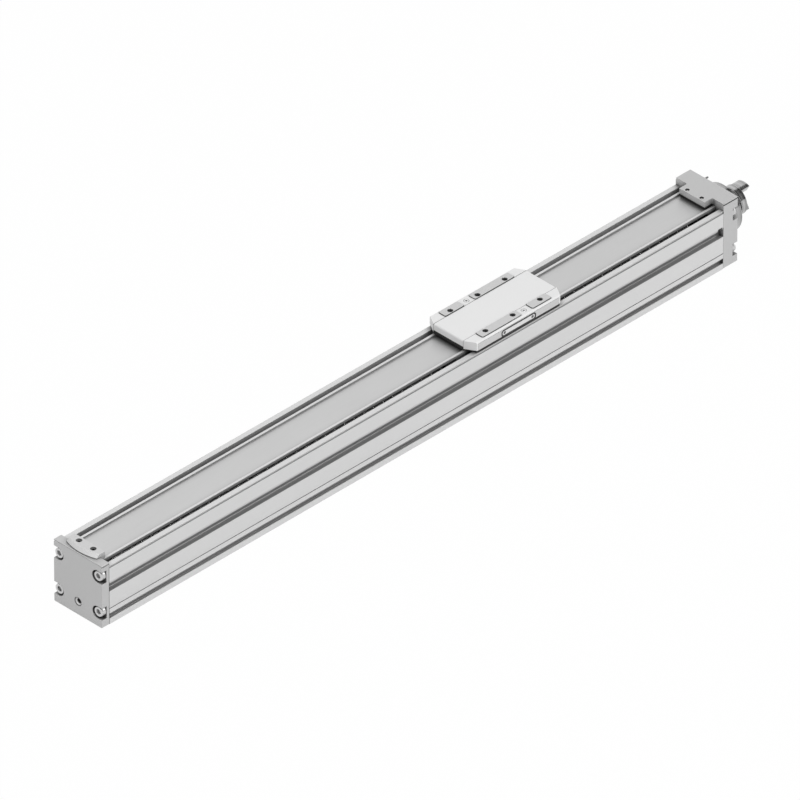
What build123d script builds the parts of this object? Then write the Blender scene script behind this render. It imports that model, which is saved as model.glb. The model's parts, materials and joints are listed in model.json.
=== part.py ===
from build123d import *

import math
import os

# Electric linear actuator: a screw-driven slide axis without its motor.
# Millimetres. +X runs from the idle end to the drive end, +Z is up, and the
# origin lies under the middle of the whole length, on the mounting surface.

# Whole axis
axis_width = 60.0
profile_height = 62.7
cap_rise = 4.0
drive_block_rise = 7.7
idle_cap_length = 9.2
drive_block_length = 18.0
stroke = 600.0
stroke_reserve = 2.25
slide_from_stroke_start = 425.0

# Clearances
seat_clearance = 0.02
running_clearance = 0.05
bolt_clearance = 0.2
slide_clearance = 0.4
trim_gap = 0.1

# Profile section
rim_width = 5.2
slot_width = 5.4
cavity_wall = 10.4
cavity_step_depth = 5.8
floor_thickness = 7.0
cavity_corner_radius = 1.5
edge_groove_height = 2.3
edge_groove_depth = 0.9
edge_groove_lip = 0.35
sensor_slot_bottom = 35.3
sensor_slot_mouth = 5.7
sensor_slot_depth = 6.0
sensor_slot_neck = 3.0
sensor_slot_undercut = 0.8
sensor_roll_radius = 6.0
sensor_roll_height = 5.0
sensor_entry_length = 5.6
sensor_entry_from_end = 1.2
scribe_line_height = 16.8
scribe_line_width = 0.6
mounting_groove_bottom = 6.1
mounting_groove_mouth = 5.4
mounting_groove_depth = 3.4
mounting_groove_neck = 1.4
mounting_groove_undercut = 0.8

# End cap screws, four at each end
cap_screw_radius = 3.0
cap_screw_head_radius = 5.0
cap_screw_head_height = 5.0
cap_screw_socket_flats = 5.0
cap_screw_socket_depth = 3.0
cap_screw_grip = 16.0
cap_screw_inset = 5.6
channel_wall_below = 0.2
channel_wall_above = 0.7
pocket_radius = 6.4
pocket_depth = 6.0

# End caps
cap_edge_groove_height = 1.3
cap_edge_groove_depth = 0.8
cap_edge_chamfer = 0.6
port_height = 14.0
port_radius = 2.5
port_depth = 6.5
port_chamfer_radius = 4.4
lug_length = 8.5
lug_thickness = 3.0
lug_side_gap = 0.8

# Cover strip and its carrier between the slots
carrier_thickness = 3.2
carrier_rise = 0.3
carrier_lip_width = 2.4
carrier_recess_depth = 2.05
strip_edge_gap = 0.8
strip_thickness = 0.3
magnet_width = 3.0
magnet_thickness = 0.6
magnet_edge_gap = 0.8
strip_end_gap = 0.2

# Strip clamps
clamp_side_gap = 0.4
clamp_foot_gap = 0.3
clamp_front_inset = 1.6
clamp_front_sagitta = 3.5
clamp_front_chamfer = 3.0
clamp_overhang = 5.9
shelf_length = 3.3
clamp_screw_spacing = 17.8
clamp_screw_from_cap = 1.4
clamp_screw_radius = 1.5
clamp_screw_head_radius = 2.7
clamp_screw_head_height = 2.4
clamp_screw_recess = 1.2
clamp_screw_bite = 6.0
nose_side_step = 0.4
nose_length = 10.0
nose_thickness = 5.8
nose_corner_radius = 1.6
nose_screw_from_block = 6.6
grub_screw_radius = 2.0
grub_screw_length = 4.2
clamp_bar_setback = 1.4

# Drive end
drive_bearing_radius = 13.0
drive_bearing_width = 12.0
drive_bearing_ring = 2.6
drive_shoulder_step = 2.2
collar_radius = 24.0
collar_wall = 4.0
collar_projection = 12.4
collar_seat_depth = 3.0
collar_bore_gap = 1.0
collar_screw_wall = 2.0
collar_screw_radius = 1.25
collar_screw_head_radius = 2.25
collar_screw_head_height = 1.8
collar_screw_bite = 6.0
locating_pin_radius = 1.0
locating_pin_y = 11.6
locating_pin_drop = 1.7
locating_pin_projection = 4.4
locating_pin_seat = 5.0

# Ball screw
screw_radius = 6.0
screw_passage = 2.0
drive_journal_radius = 5.0
idle_journal_radius = 4.0
lock_nut_radius = 9.0
lock_nut_length = 6.0

# Coupling hub with two claws
hub_radius = 14.6
hub_neck_step = 1.4
hub_length = 23.0
hub_rim_length = 7.0
hub_gap = 5.5
claw_length = 10.5
claw_step = 0.4
claw_inner_radius = 7.2
claw_angle = 58.0
hub_slit_width = 1.4
hub_screw_radius = 1.5
hub_screw_head_radius = 2.75
hub_screw_head_height = 3.0
hub_screw_offset = 8.6
hub_screw_half_length = 6.5
hub_bore_depth = 20.0

# Idle support bearing
idle_bearing_radius = 11.0
idle_bearing_width = 7.0
idle_bearing_ring = 2.0
circlip_radius = 5.6
circlip_thickness = 0.8
circlip_room = 1.4

# Shields of both bearings
shield_thickness = 0.6
shield_inset = 0.3
shield_gap = 0.1

# Buffers round the screw
buffer_length = 14.0
buffer_radius = 15.0

# Guide rail and runner blocks
rail_width = 15.0
rail_height = 9.5
rail_groove_radius = 1.5
rail_groove_height = 5.4
rail_chamfer = 0.7
rail_end_gap = 1.0
rail_screw_pitch = 120.0
rail_screw_end_distance = 20.0
rail_screw_radius = 1.5
rail_screw_head_radius = 2.75
rail_screw_head_height = 3.0
rail_screw_recess = 0.4
rail_screw_bite = 5.0
runner_side_gap = 2.6
runner_length = 30.0
runner_end_length = 5.0
runner_lift = 4.0
runner_height = 12.0
runner_end_inset = 1.0
runner_chamfer = 1.2
runner_gap = 0.2
runner_screw_spacing_x = 22.0
runner_screw_edge = 2.8
runner_screw_radius = 1.5
runner_screw_head_radius = 2.75
runner_screw_head_height = 3.0
runner_screw_bite = 4.5

# Inner carriage
carriage_half_length = 68.0
carriage_side_gap = 0.8
leg_end_inset = 0.5
cover_clearance = 0.5

# Ball nut
nut_radius = 11.0
nut_flange_rim = 6.0
nut_flange_thickness = 8.0
nut_flange_flat = 13.5
nut_flange_lift = 2.0
nut_body_length = 36.0
nut_screw_angle = 45.0
nut_screw_radius = 1.5
nut_screw_head_radius = 2.75
nut_screw_head_height = 3.0
nut_screw_bite = 8.0
nut_wiper_radius = 8.8
nut_wiper_thickness = 2.0

# Slide
slide_inset = 0.3
slide_lift = 2.4
table_thickness = 7.0
table_half_length = 50.5
side_cover_overhang = 1.8
end_cover_overhang = 8.3
cover_thickness = 2.0
side_band_width = 11.1
cover_edge_radius = 1.8
side_edge_chamfer = 1.2
cover_end_lift = 2.0
pad_rise = 0.8
pad_edge_margin = 2.4
long_pad_end_margin = 7.4
long_pad_inner_x = 6.2
short_pad_inner_x = 19.9
short_pad_end_margin = 7.0
pad_chamfer = 1.0
table_hole_spacing_x = 68.6
table_hole_from_cover = 3.4
table_hole_radius = 2.5
table_hole_depth = 8.0
table_hole_chamfer = 0.4
centring_hole_radius = 2.5
centring_hole_depth = 4.0
table_screw_end_margin = 3.9
table_screw_radius = 1.25
table_screw_head_radius = 2.5
table_screw_head_height = 3.0
table_screw_bite = 6.0
nipple_x = 12.8
nipple_from_cover = 4.6
nipple_radius = 2.5
nipple_stem_radius = 1.9
nipple_stem_length = 5.0
nipple_port_radius = 0.8
nipple_port_depth = 2.5
side_plate_half_length = 20.8
side_plate_height = 5.6
side_plate_thickness = 1.4
side_plate_corner_radius = 1.5
side_plate_gap = 0.35
side_plate_screw_spacing = 35.0
side_plate_screw_radius = 0.8
side_plate_screw_head_radius = 1.3
side_plate_screw_length = 4.0
wiper_length = 4.0
wiper_inset = 3.0
wiper_gap = 0.15
wiper_side_gap = 0.3

# Places along the axis
profile_length = stroke + 2 * (stroke_reserve + buffer_length + carriage_half_length)
body_length = idle_cap_length + profile_length + drive_block_length
overall_length = body_length + hub_gap + hub_length + claw_length
idle_face = -overall_length / 2
drive_face = idle_face + body_length
profile_start = idle_face + idle_cap_length
profile_end = drive_face - drive_block_length
stroke_start = profile_start + buffer_length + stroke_reserve + carriage_half_length
slide_x = stroke_start + slide_from_stroke_start
hub_start = drive_face + hub_gap
hub_end = hub_start + hub_length
carrier_start = profile_start + shelf_length
lug_start = carrier_start + lug_length
lug_end = profile_end - lug_length
nut_flange_end = slide_x + carriage_half_length
nut_flange_start = nut_flange_end - nut_flange_thickness
runner_half_reach = runner_length / 2 + runner_end_length
runner_offset = carriage_half_length - runner_end_inset - runner_half_reach
leg_half_length = table_half_length - leg_end_inset
slide_side_half_length = table_half_length + side_cover_overhang
slide_centre_half_length = table_half_length + end_cover_overhang
long_pad_outer_x = table_half_length - long_pad_end_margin
short_pad_outer_x = table_half_length - short_pad_end_margin
table_screw_x = table_half_length - table_screw_end_margin

# Places across the axis
half_width = axis_width / 2
cavity_half_width = half_width - cavity_wall
slot_outer = half_width - rim_width
slot_inner = slot_outer - slot_width
leg_outer = slot_outer - slide_clearance
leg_inner = slot_inner + slide_clearance
cap_screw_y = half_width - cap_screw_inset
lug_half_width = cavity_half_width - lug_side_gap
recess_half_width = slot_inner - carrier_lip_width
strip_half_width = recess_half_width - strip_edge_gap
clamp_half_width = slot_inner - clamp_side_gap
clamp_foot_half_width = recess_half_width - clamp_foot_gap
nose_half_width = strip_half_width - nose_side_step
runner_width = 2 * (cavity_half_width - runner_side_gap)
runner_screw_y = runner_width / 2 - runner_screw_edge
slide_half_width = half_width - slide_inset
cover_half_width = slide_half_width - side_band_width
pad_inner_y = cover_half_width + trim_gap
pad_outer_y = slide_half_width - pad_edge_margin
table_hole_y = cover_half_width + table_hole_from_cover
nipple_y = cover_half_width + nipple_from_cover

# Radii round the screw
passage_radius = screw_radius + screw_passage
drive_shoulder_radius = drive_bearing_radius - drive_shoulder_step
collar_bore_radius = lock_nut_radius + collar_bore_gap
collar_screw_circle = drive_bearing_radius + collar_screw_wall
hub_neck_radius = hub_radius - hub_neck_step
claw_outer_radius = hub_radius - claw_step
nut_flange_radius = nut_radius + nut_flange_rim
nut_screw_circle = (nut_radius + nut_flange_radius) / 2

# Heights
cap_height = profile_height + cap_rise
block_height = profile_height + drive_block_rise
cavity_step_height = profile_height - cavity_step_depth
mounting_groove_top = mounting_groove_bottom + mounting_groove_mouth
cap_screw_heights = (
    mounting_groove_top + channel_wall_below + cap_screw_radius,
    cavity_step_height - channel_wall_above - cap_screw_radius,
)
carrier_top = profile_height + carrier_rise
carrier_bottom = carrier_top - carrier_thickness
recess_floor = carrier_top - carrier_recess_depth
strip_top = recess_floor + strip_thickness
nose_bottom = block_height - nose_thickness
table_bottom = profile_height + slide_lift
table_top = table_bottom + table_thickness
cover_top = table_top + cover_thickness
pad_top = cover_top + pad_rise
rail_top = floor_thickness + rail_height
runner_bottom = floor_thickness + runner_lift
runner_top = runner_bottom + runner_height
screw_height = runner_top + nut_flange_lift + nut_flange_flat
carriage_top = carrier_bottom - cover_clearance
flange_bottom = cavity_step_height + slide_clearance

BOTTOM = (Align.CENTER, Align.CENTER, Align.MIN)
SIDES = (-1, 1)


def block(x_range, y_range, z_range):
    """A box between two corners."""
    lengths = [high - low for low, high in (x_range, y_range, z_range)]
    corner = (x_range[0], y_range[0], z_range[0])
    return Pos(*corner) * Box(*lengths, align=(Align.MIN,) * 3)


def rod_x(start, end, radius, y=0.0, z=screw_height):
    """A round bar along the axis; it lies on the screw's centre line unless placed."""
    return Pos(start, y, z) * Rot(0, 90, 0) * Cylinder(radius, end - start, align=BOTTOM)


def ring_x(start, end, inner, outer):
    """A ring round the screw's centre line."""
    return rod_x(start, end, outer) - rod_x(start, end, inner)


def rod_z(x, y, low, high, radius):
    """An upright round bar."""
    return Pos(x, y, low) * Cylinder(radius, high - low, align=BOTTOM)


def cone_x(start, end, start_radius, end_radius, y=0.0, z=screw_height):
    """A cone along the axis between two radii."""
    cone = Cone(start_radius, end_radius, end - start, align=BOTTOM)
    return Pos(start, y, z) * Rot(0, 90, 0) * cone


def prism_x(section, start, end):
    """A cross-section, drawn as width and height, run along the axis."""
    return extrude(Plane.YZ.offset(start) * section, amount=end - start)


def plate_z(outline, low, high):
    """A plan outline made a plate between two heights."""
    return extrude(Plane.XY.offset(low) * outline, amount=high - low)


def both_sides(shape):
    """A section shape with its mirror image across the middle."""
    return shape + mirror(shape, about=Plane.YZ)


def cap_screws(face, inward):
    """Four socket-head screws in the pockets of an end face; inward is +1 or -1."""
    seat = face + inward * pocket_depth
    head_end = seat - inward * cap_screw_head_height
    tip = face + inward * (face_to_profile(face) + cap_screw_grip)
    socket_end = head_end + inward * cap_screw_socket_depth
    screws = []
    for side in SIDES:
        for height in cap_screw_heights:
            place = (side * cap_screw_y, height)
            head = rod_x(*sorted((seat, head_end)), cap_screw_head_radius, *place)
            shank = rod_x(*sorted((seat, tip)), cap_screw_radius, *place)
            hexagon = RegularPolygon(cap_screw_socket_flats / 2, 6, major_radius=False)
            socket = prism_x(Pos(*place) * hexagon, *sorted((head_end, socket_end)))
            screws.append(head + shank - socket)
    return Compound(screws)


def face_to_profile(face):
    """The distance from an end face of the axis to its profile."""
    return min(abs(face - profile_start), abs(face - profile_end))


def cap_screw_cuts(face, inward):
    """The pockets, open to the sides, and the through holes of four cap screws."""
    seat = face + inward * pocket_depth
    through = face + inward * (face_to_profile(face) + 1.0)
    cuts = []
    for side in SIDES:
        for height in cap_screw_heights:
            place = (side * cap_screw_y, height)
            pocket = rod_x(*sorted((face, seat)), pocket_radius, *place)
            mouth = block(
                sorted((face, seat)),
                sorted((side * cap_screw_y, side * (half_width + 1.0))),
                (height - pocket_radius, height + pocket_radius),
            )
            hole = rod_x(*sorted((face, through)), cap_screw_radius + bolt_clearance, *place)
            cuts += [pocket, mouth, hole]
    return cuts


def sensor_slot_section():
    """One sensor slot: a rolled upper lip, a sharp lower lip and an undercut inside."""
    bottom = sensor_slot_bottom
    top = bottom + sensor_slot_mouth
    roll_top = top + sensor_roll_height
    roll_centre = half_width - sensor_roll_radius
    roll_reach = math.sqrt(sensor_roll_radius**2 - sensor_roll_height**2)
    lip = (roll_centre + roll_reach, top)
    half_turn = math.asin(sensor_roll_height / sensor_roll_radius) / 2
    middle = (
        roll_centre + sensor_roll_radius * math.cos(half_turn),
        roll_top - sensor_roll_radius * math.sin(half_turn),
    )
    roll = ThreePointArc((half_width, roll_top), middle, lip)
    outside = Polyline(lip, (half_width + 1.0, top), (half_width + 1.0, roll_top),
                       (half_width, roll_top))
    neck_depth = half_width - sensor_slot_neck
    neck_middle = Pos((neck_depth + half_width + 1.0) / 2, bottom + sensor_slot_mouth / 2)
    neck = neck_middle * Rectangle(sensor_slot_neck + 1.0, sensor_slot_mouth)
    room_width = sensor_slot_depth - sensor_slot_neck + 0.2
    room_height = sensor_slot_mouth + 2 * sensor_slot_undercut
    room = RectangleRounded(room_width, room_height, sensor_slot_undercut)
    room_middle = half_width - sensor_slot_depth + room_width / 2
    room = Pos(room_middle, bottom + sensor_slot_mouth / 2) * room
    return make_face(roll + outside) + neck + room


def mounting_groove_section():
    """One mounting groove near the base, hooked at its lower lip."""
    bottom = mounting_groove_bottom
    top = mounting_groove_top
    deep = half_width - mounting_groove_depth
    hook = half_width - mounting_groove_neck
    low = bottom - mounting_groove_undercut
    outline = Polyline(
        (half_width + 1.0, top), (deep, top), (deep, low), (hook, low),
        (hook, bottom), (half_width + 1.0, bottom), close=True,
    )
    return make_face(outline)


def edge_groove_section(top, height, depth):
    """The narrow shadow groove just under a top edge."""
    centre = (half_width + (1.0 - depth) / 2, top - edge_groove_lip - height / 2)
    return Pos(*centre) * Rectangle(depth + 1.0, height)


def profile_section():
    """The extruded section: two open slots over one cavity, and four screw channels."""
    section = Pos(0, profile_height / 2) * Rectangle(axis_width, profile_height)
    cavity_height = cavity_step_height - floor_thickness + 2 * cavity_corner_radius
    cavity = RectangleRounded(2 * cavity_half_width, cavity_height, cavity_corner_radius)
    section -= Pos(0, floor_thickness + cavity_height / 2) * cavity
    mouth_height = profile_height - cavity_step_height
    mouth = Rectangle(2 * slot_outer, mouth_height + 1.0)
    section -= Pos(0, cavity_step_height + (mouth_height + 1.0) / 2) * mouth
    section -= both_sides(sensor_slot_section())
    section -= both_sides(mounting_groove_section())
    groove = edge_groove_section(profile_height, edge_groove_height, edge_groove_depth)
    section -= both_sides(groove)
    scribe = Rectangle(scribe_line_width, scribe_line_width)
    section -= both_sides(Pos(half_width, scribe_line_height) * Rot(0, 0, 45) * scribe)
    for side in SIDES:
        for height in cap_screw_heights:
            channel = Circle(cap_screw_radius + seat_clearance)
            section -= Pos(side * cap_screw_y, height) * channel
    return section


def rail_screw_places():
    """Where the rail's screws sit, evenly spaced and centred on the profile."""
    middle = (profile_start + profile_end) / 2
    count = int((profile_length - 2 * rail_screw_end_distance) // rail_screw_pitch) + 1
    first = middle - (count - 1) * rail_screw_pitch / 2
    return [first + index * rail_screw_pitch for index in range(count)]


def profile_extrusion():
    body = prism_x(profile_section(), profile_start, profile_end)
    entry_end = profile_end - sensor_entry_from_end
    entry_height = (sensor_slot_bottom, sensor_slot_bottom + sensor_slot_mouth + sensor_roll_height)
    for side in SIDES:
        depth = sorted((side * (half_width - sensor_slot_depth), side * (half_width + 1.0)))
        body -= block((entry_end - sensor_entry_length, entry_end), depth, entry_height)
    hole_bottom = floor_thickness - rail_screw_bite
    for x in rail_screw_places():
        radius = rail_screw_radius + seat_clearance
        body -= rod_z(x, 0, hole_bottom, floor_thickness + 1.0, radius)
    return body


def cap_body(start, end, height):
    """The outer block of an end cap, with its chamfered corners and shadow grooves."""
    section = Pos(0, height / 2) * Rectangle(axis_width, height)
    section = chamfer(section.vertices(), cap_edge_chamfer)
    body = prism_x(section, start, end)
    groove = edge_groove_section(
        height - cap_edge_chamfer, cap_edge_groove_height, cap_edge_groove_depth
    )
    return body - prism_x(both_sides(groove), start - 1.0, end + 1.0)


def cover_lug(start, end):
    """The shelf on an end cap that carries the cover carrier's end."""
    heights = (carrier_bottom - lug_thickness, carrier_bottom)
    return block((start, end), (-lug_half_width, lug_half_width), heights)


def clamp_outline(grow=0.0):
    """The idle strip clamp in plan, with its shallow arc towards the idle face."""
    half = clamp_half_width + grow
    back = profile_start + clamp_overhang
    front = idle_face + clamp_front_inset - grow
    side = front + clamp_front_sagitta
    arc = ThreePointArc((side, -half), (front, 0), (side, half))
    rest = Polyline((side, half), (back, half), (back, -half), (side, -half))
    return make_face(arc + rest)


def clamp_screw_places():
    """The two screws of the idle strip clamp."""
    x = profile_start + clamp_screw_from_cap
    return [(x, side * clamp_screw_spacing / 2) for side in SIDES]


def grub_screw_places():
    """The two screws in the nose of the drive block."""
    x = profile_end - nose_screw_from_block
    return [(x, side * clamp_screw_spacing / 2) for side in SIDES]


def idle_end_cap():
    body = cap_body(idle_face, profile_start, cap_height)
    body += cover_lug(profile_start, lug_start)
    shelf = (-lug_half_width, lug_half_width)
    body += block((profile_start, carrier_start), shelf, (carrier_bottom, carrier_top))
    for cut in cap_screw_cuts(idle_face, 1):
        body -= cut
    seat_start = profile_start - idle_bearing_width
    body -= rod_x(seat_start, profile_start, idle_bearing_radius + seat_clearance)
    body -= rod_x(seat_start - circlip_room, seat_start, circlip_radius + 1.0)
    body -= rod_x(idle_face, idle_face + port_depth, port_radius, 0, port_height)
    chamfer_depth = port_chamfer_radius - port_radius
    body -= cone_x(idle_face, idle_face + chamfer_depth, port_chamfer_radius, port_radius,
                   0, port_height)
    body -= plate_z(clamp_outline(trim_gap), carrier_top, cap_height + 1.0)
    for x, y in clamp_screw_places():
        bottom = carrier_top - clamp_screw_bite
        body -= rod_z(x, y, bottom, carrier_top, clamp_screw_radius + seat_clearance)
    return body


def nose_outline():
    """The drive block's nose in plan, filleted where it meets the block."""
    outline = Pos(profile_end - nose_length / 2, 0) * Rectangle(nose_length, 2 * nose_half_width)
    for side in SIDES:
        corner = (profile_end, side * nose_half_width)
        radius = nose_corner_radius
        patch = Pos(corner[0] - radius / 2, corner[1] + side * radius / 2)
        web = patch * Rectangle(radius, radius)
        web -= Pos(corner[0] - radius, corner[1] + side * radius) * Circle(radius)
        outline += web
    return outline


def drive_bearing_block():
    body = cap_body(profile_end, drive_face, block_height)
    body += cover_lug(lug_end, profile_end)
    body += plate_z(nose_outline(), nose_bottom, block_height)
    for cut in cap_screw_cuts(drive_face, -1):
        body -= cut
    collar_seat = drive_face - collar_seat_depth
    bearing_start = collar_seat - drive_bearing_width
    collar_seat_radius = collar_radius - collar_wall + seat_clearance
    body -= rod_x(collar_seat, drive_face, collar_seat_radius)
    body -= rod_x(bearing_start, collar_seat, drive_bearing_radius + seat_clearance)
    body -= rod_x(profile_end, bearing_start, drive_shoulder_radius)
    for y, z in collar_screw_places():
        radius = collar_screw_radius + seat_clearance
        body -= rod_x(collar_seat - collar_screw_bite, collar_seat, radius, y, z)
    for x, y in grub_screw_places():
        body -= rod_z(x, y, nose_bottom, block_height, grub_screw_radius + seat_clearance)
    pin_start = drive_face - locating_pin_seat
    radius = locating_pin_radius + seat_clearance
    height = block_height - locating_pin_drop
    body -= rod_x(pin_start, drive_face, radius, locating_pin_y, height)
    return body


def locating_pin():
    start = drive_face - locating_pin_seat
    end = drive_face + locating_pin_projection
    height = block_height - locating_pin_drop
    return rod_x(start, end, locating_pin_radius, locating_pin_y, height)


def collar_screw_places():
    """Four small screws on a circle round the screw's centre line."""
    places = []
    for quarter in range(4):
        angle = math.radians(45 + 90 * quarter)
        y = collar_screw_circle * math.cos(angle)
        places.append((y, screw_height + collar_screw_circle * math.sin(angle)))
    return places


def centring_collar():
    seat = drive_face - collar_seat_depth
    inner = collar_radius - collar_wall
    body = rod_x(seat, drive_face, inner)
    body += ring_x(drive_face, drive_face + collar_projection, inner - trim_gap, collar_radius)
    body -= rod_x(seat, drive_face, collar_bore_radius)
    for y, z in collar_screw_places():
        body -= rod_x(seat, drive_face, collar_screw_radius + bolt_clearance, y, z)
    return body


def collar_screws():
    seat = drive_face - collar_seat_depth
    screws = []
    for y, z in collar_screw_places():
        shank = rod_x(seat - collar_screw_bite, drive_face, collar_screw_radius, y, z)
        end = drive_face + collar_screw_head_height
        head = rod_x(drive_face, end, collar_screw_head_radius, y, z)
        screws.append(shank + head)
    return Compound(screws)


def cover_carrier():
    """The fixed cover between the slots, with a raised lip along each edge."""
    middle = (carrier_top + carrier_bottom) / 2
    section = Pos(0, middle) * Rectangle(2 * slot_inner, carrier_thickness)
    recess_middle = Pos(0, recess_floor + carrier_recess_depth)
    section -= recess_middle * Rectangle(2 * recess_half_width, 2 * carrier_recess_depth)
    section -= magnet_section()
    return prism_x(section, carrier_start, profile_end)


def magnet_section():
    """The two magnet strips let into the carrier under the cover strip's edges."""
    middle = strip_half_width - magnet_edge_gap - magnet_width / 2
    strip = Rectangle(magnet_width, magnet_thickness)
    return both_sides(Pos(middle, recess_floor - magnet_thickness / 2) * strip)


def magnet_strips():
    return prism_x(magnet_section(), carrier_start, profile_end)


def cover_strip():
    ends = (carrier_start + strip_end_gap, profile_end - strip_end_gap)
    across = (-strip_half_width, strip_half_width)
    return block(ends, across, (recess_floor, strip_top))


def strip_clamp_idle():
    """The idle strip clamp: a plate with a slanted arched front and a foot on the strip."""
    body = plate_z(clamp_outline(), carrier_top, block_height)
    front = body.edges().filter_by(GeomType.CIRCLE).group_by(Axis.Z)[-1]
    body = chamfer(front, clamp_front_chamfer)
    foot = (-clamp_foot_half_width, clamp_foot_half_width)
    ends = (carrier_start + strip_end_gap, profile_start + clamp_overhang)
    body += block(ends, foot, (strip_top, carrier_top))
    seat = block_height - clamp_screw_recess - clamp_screw_head_height
    for x, y in clamp_screw_places():
        body -= rod_z(x, y, seat, block_height, clamp_screw_head_radius + bolt_clearance)
        body -= rod_z(x, y, carrier_top, seat, clamp_screw_radius + bolt_clearance)
    return body


def strip_clamp_screws():
    head_top = block_height - clamp_screw_recess
    seat = head_top - clamp_screw_head_height
    screws = []
    for x, y in clamp_screw_places():
        head = rod_z(x, y, seat, head_top, clamp_screw_head_radius)
        shank = rod_z(x, y, carrier_top - clamp_screw_bite, seat, clamp_screw_radius)
        screws.append(head + shank)
    return Compound(screws)


def strip_clamp_drive():
    """The clamping bar under the drive block's nose."""
    ends = (profile_end - nose_length + clamp_bar_setback, profile_end - strip_end_gap)
    half = nose_half_width - trim_gap
    return block(ends, (-half, half), (strip_top, nose_bottom - trim_gap))


def strip_grub_screws():
    bottom = nose_bottom - trim_gap
    screws = []
    for x, y in grub_screw_places():
        screws.append(rod_z(x, y, bottom, bottom + grub_screw_length, grub_screw_radius))
    return Compound(screws)


def bearing_ring_radii(radius, bore, thickness):
    """Inner ring's and outer ring's radii of a bearing: two pairs."""
    return (bore, bore + thickness), (radius - thickness, radius)


def bearing_shields(span, inner, outer):
    """The two shields of a bearing: they seat in its outer ring and clear the inner one."""
    radii = (inner[1] + shield_gap, outer[0] - seat_clearance)
    near = span[0] + shield_inset
    far = span[1] - shield_inset - shield_thickness
    return Compound([ring_x(start, start + shield_thickness, *radii) for start in (near, far)])


def drive_bearing_span():
    end = drive_face - collar_seat_depth
    return end - drive_bearing_width, end


def idle_bearing_span():
    return profile_start - idle_bearing_width, profile_start


def drive_bearing_rings():
    return bearing_ring_radii(drive_bearing_radius, drive_journal_radius, drive_bearing_ring)


def support_bearing_rings():
    return bearing_ring_radii(idle_bearing_radius, idle_journal_radius, idle_bearing_ring)


def drive_bearing_outer_ring():
    return ring_x(*drive_bearing_span(), *drive_bearing_rings()[1])


def drive_bearing_inner_ring():
    return ring_x(*drive_bearing_span(), *drive_bearing_rings()[0])


def drive_bearing_shields():
    return bearing_shields(drive_bearing_span(), *drive_bearing_rings())


def support_bearing_outer_ring():
    return ring_x(*idle_bearing_span(), *support_bearing_rings()[1])


def support_bearing_inner_ring():
    return ring_x(*idle_bearing_span(), *support_bearing_rings()[0])


def support_bearing_shields():
    return bearing_shields(idle_bearing_span(), *support_bearing_rings())


def ball_screw():
    bearing_start = drive_bearing_span()[0]
    body = rod_x(profile_start, bearing_start, screw_radius)
    circlip_end = idle_bearing_span()[0] - circlip_room + trim_gap
    body += rod_x(circlip_end, profile_start, idle_journal_radius - seat_clearance)
    journal = drive_journal_radius - seat_clearance
    body += rod_x(bearing_start, hub_start + hub_bore_depth, journal)
    return body


def support_circlip():
    start = idle_bearing_span()[0]
    return ring_x(start - circlip_thickness, start, idle_journal_radius, circlip_radius)


def shaft_lock_nut():
    start = drive_bearing_span()[1]
    end = start + lock_nut_length
    body = ring_x(start, end, drive_journal_radius, lock_nut_radius)
    for quarter in range(4):
        slot = Pos(0, lock_nut_radius) * Rectangle(2.5, 2.5)
        slot = Pos(0, screw_height) * Rot(0, 0, 90 * quarter + 45) * slot
        body -= prism_x(slot, end - 3.0, end)
    return body


def claw_section():
    """One claw of the coupling: a sector of a ring, centred on the upward direction."""
    ring = Circle(claw_outer_radius) - Circle(claw_inner_radius)
    half = math.radians(claw_angle / 2)
    reach = 2 * claw_outer_radius
    wedge = Polyline(
        (0, 0), (reach * math.sin(half), reach * math.cos(half)),
        (-reach * math.sin(half), reach * math.cos(half)), close=True,
    )
    return ring & make_face(wedge)


def coupling_hub():
    """Clamping hub: a slit neck, a wider rim and two claws that point away from the axis."""
    rim_start = hub_end - hub_rim_length
    body = rod_x(hub_start, rim_start, hub_neck_radius) + rod_x(rim_start, hub_end, hub_radius)
    for turn in (0, 180):
        claw = Pos(0, screw_height) * Rot(0, 0, turn) * claw_section()
        body += prism_x(claw, hub_end, hub_end + claw_length)
    body -= rod_x(hub_start, hub_start + hub_bore_depth, drive_journal_radius)
    half_slit = hub_slit_width / 2
    body -= block((hub_start, rim_start), (-hub_neck_radius, 0),
                  (screw_height - half_slit, screw_height + half_slit))
    x, y = hub_screw_place()
    low = screw_height - hub_screw_half_length
    high = screw_height + hub_screw_half_length
    radius = hub_screw_radius + seat_clearance
    body -= rod_z(x, y, low, high, radius)
    seat = high - hub_screw_head_height
    body -= rod_z(x, y, seat, high + hub_radius, hub_screw_head_radius + bolt_clearance)
    return body


def hub_screw_place():
    """Where the hub's clamping screw crosses the slit."""
    return (hub_start + hub_end - hub_rim_length) / 2, -hub_screw_offset


def coupling_clamp_screw():
    x, y = hub_screw_place()
    low = screw_height - hub_screw_half_length
    high = screw_height + hub_screw_half_length
    seat = high - hub_screw_head_height
    shank = rod_z(x, y, low, seat, hub_screw_radius)
    return shank + rod_z(x, y, seat, high, hub_screw_head_radius)


def buffer_idle():
    return ring_x(profile_start, profile_start + buffer_length, passage_radius, buffer_radius)


def buffer_drive():
    return ring_x(profile_end - buffer_length, profile_end, passage_radius, buffer_radius)


def rail_section():
    """The guide rail: a bar with a round ball track along each side."""
    rail = Pos(0, floor_thickness + rail_height / 2) * Rectangle(rail_width, rail_height)
    rail = chamfer(rail.vertices().group_by(Axis.Y)[-1], rail_chamfer)
    track = Pos(rail_width / 2 + rail_groove_radius / 3, floor_thickness + rail_groove_height)
    return rail - both_sides(track * Circle(rail_groove_radius))


def guide_rail():
    body = prism_x(rail_section(), profile_start + rail_end_gap, profile_end - rail_end_gap)
    seat = rail_top - rail_screw_recess - rail_screw_head_height
    for x in rail_screw_places():
        body -= rod_z(x, 0, floor_thickness, seat, rail_screw_radius + bolt_clearance)
        body -= rod_z(x, 0, seat, rail_top, rail_screw_head_radius + bolt_clearance)
    return body


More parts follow.
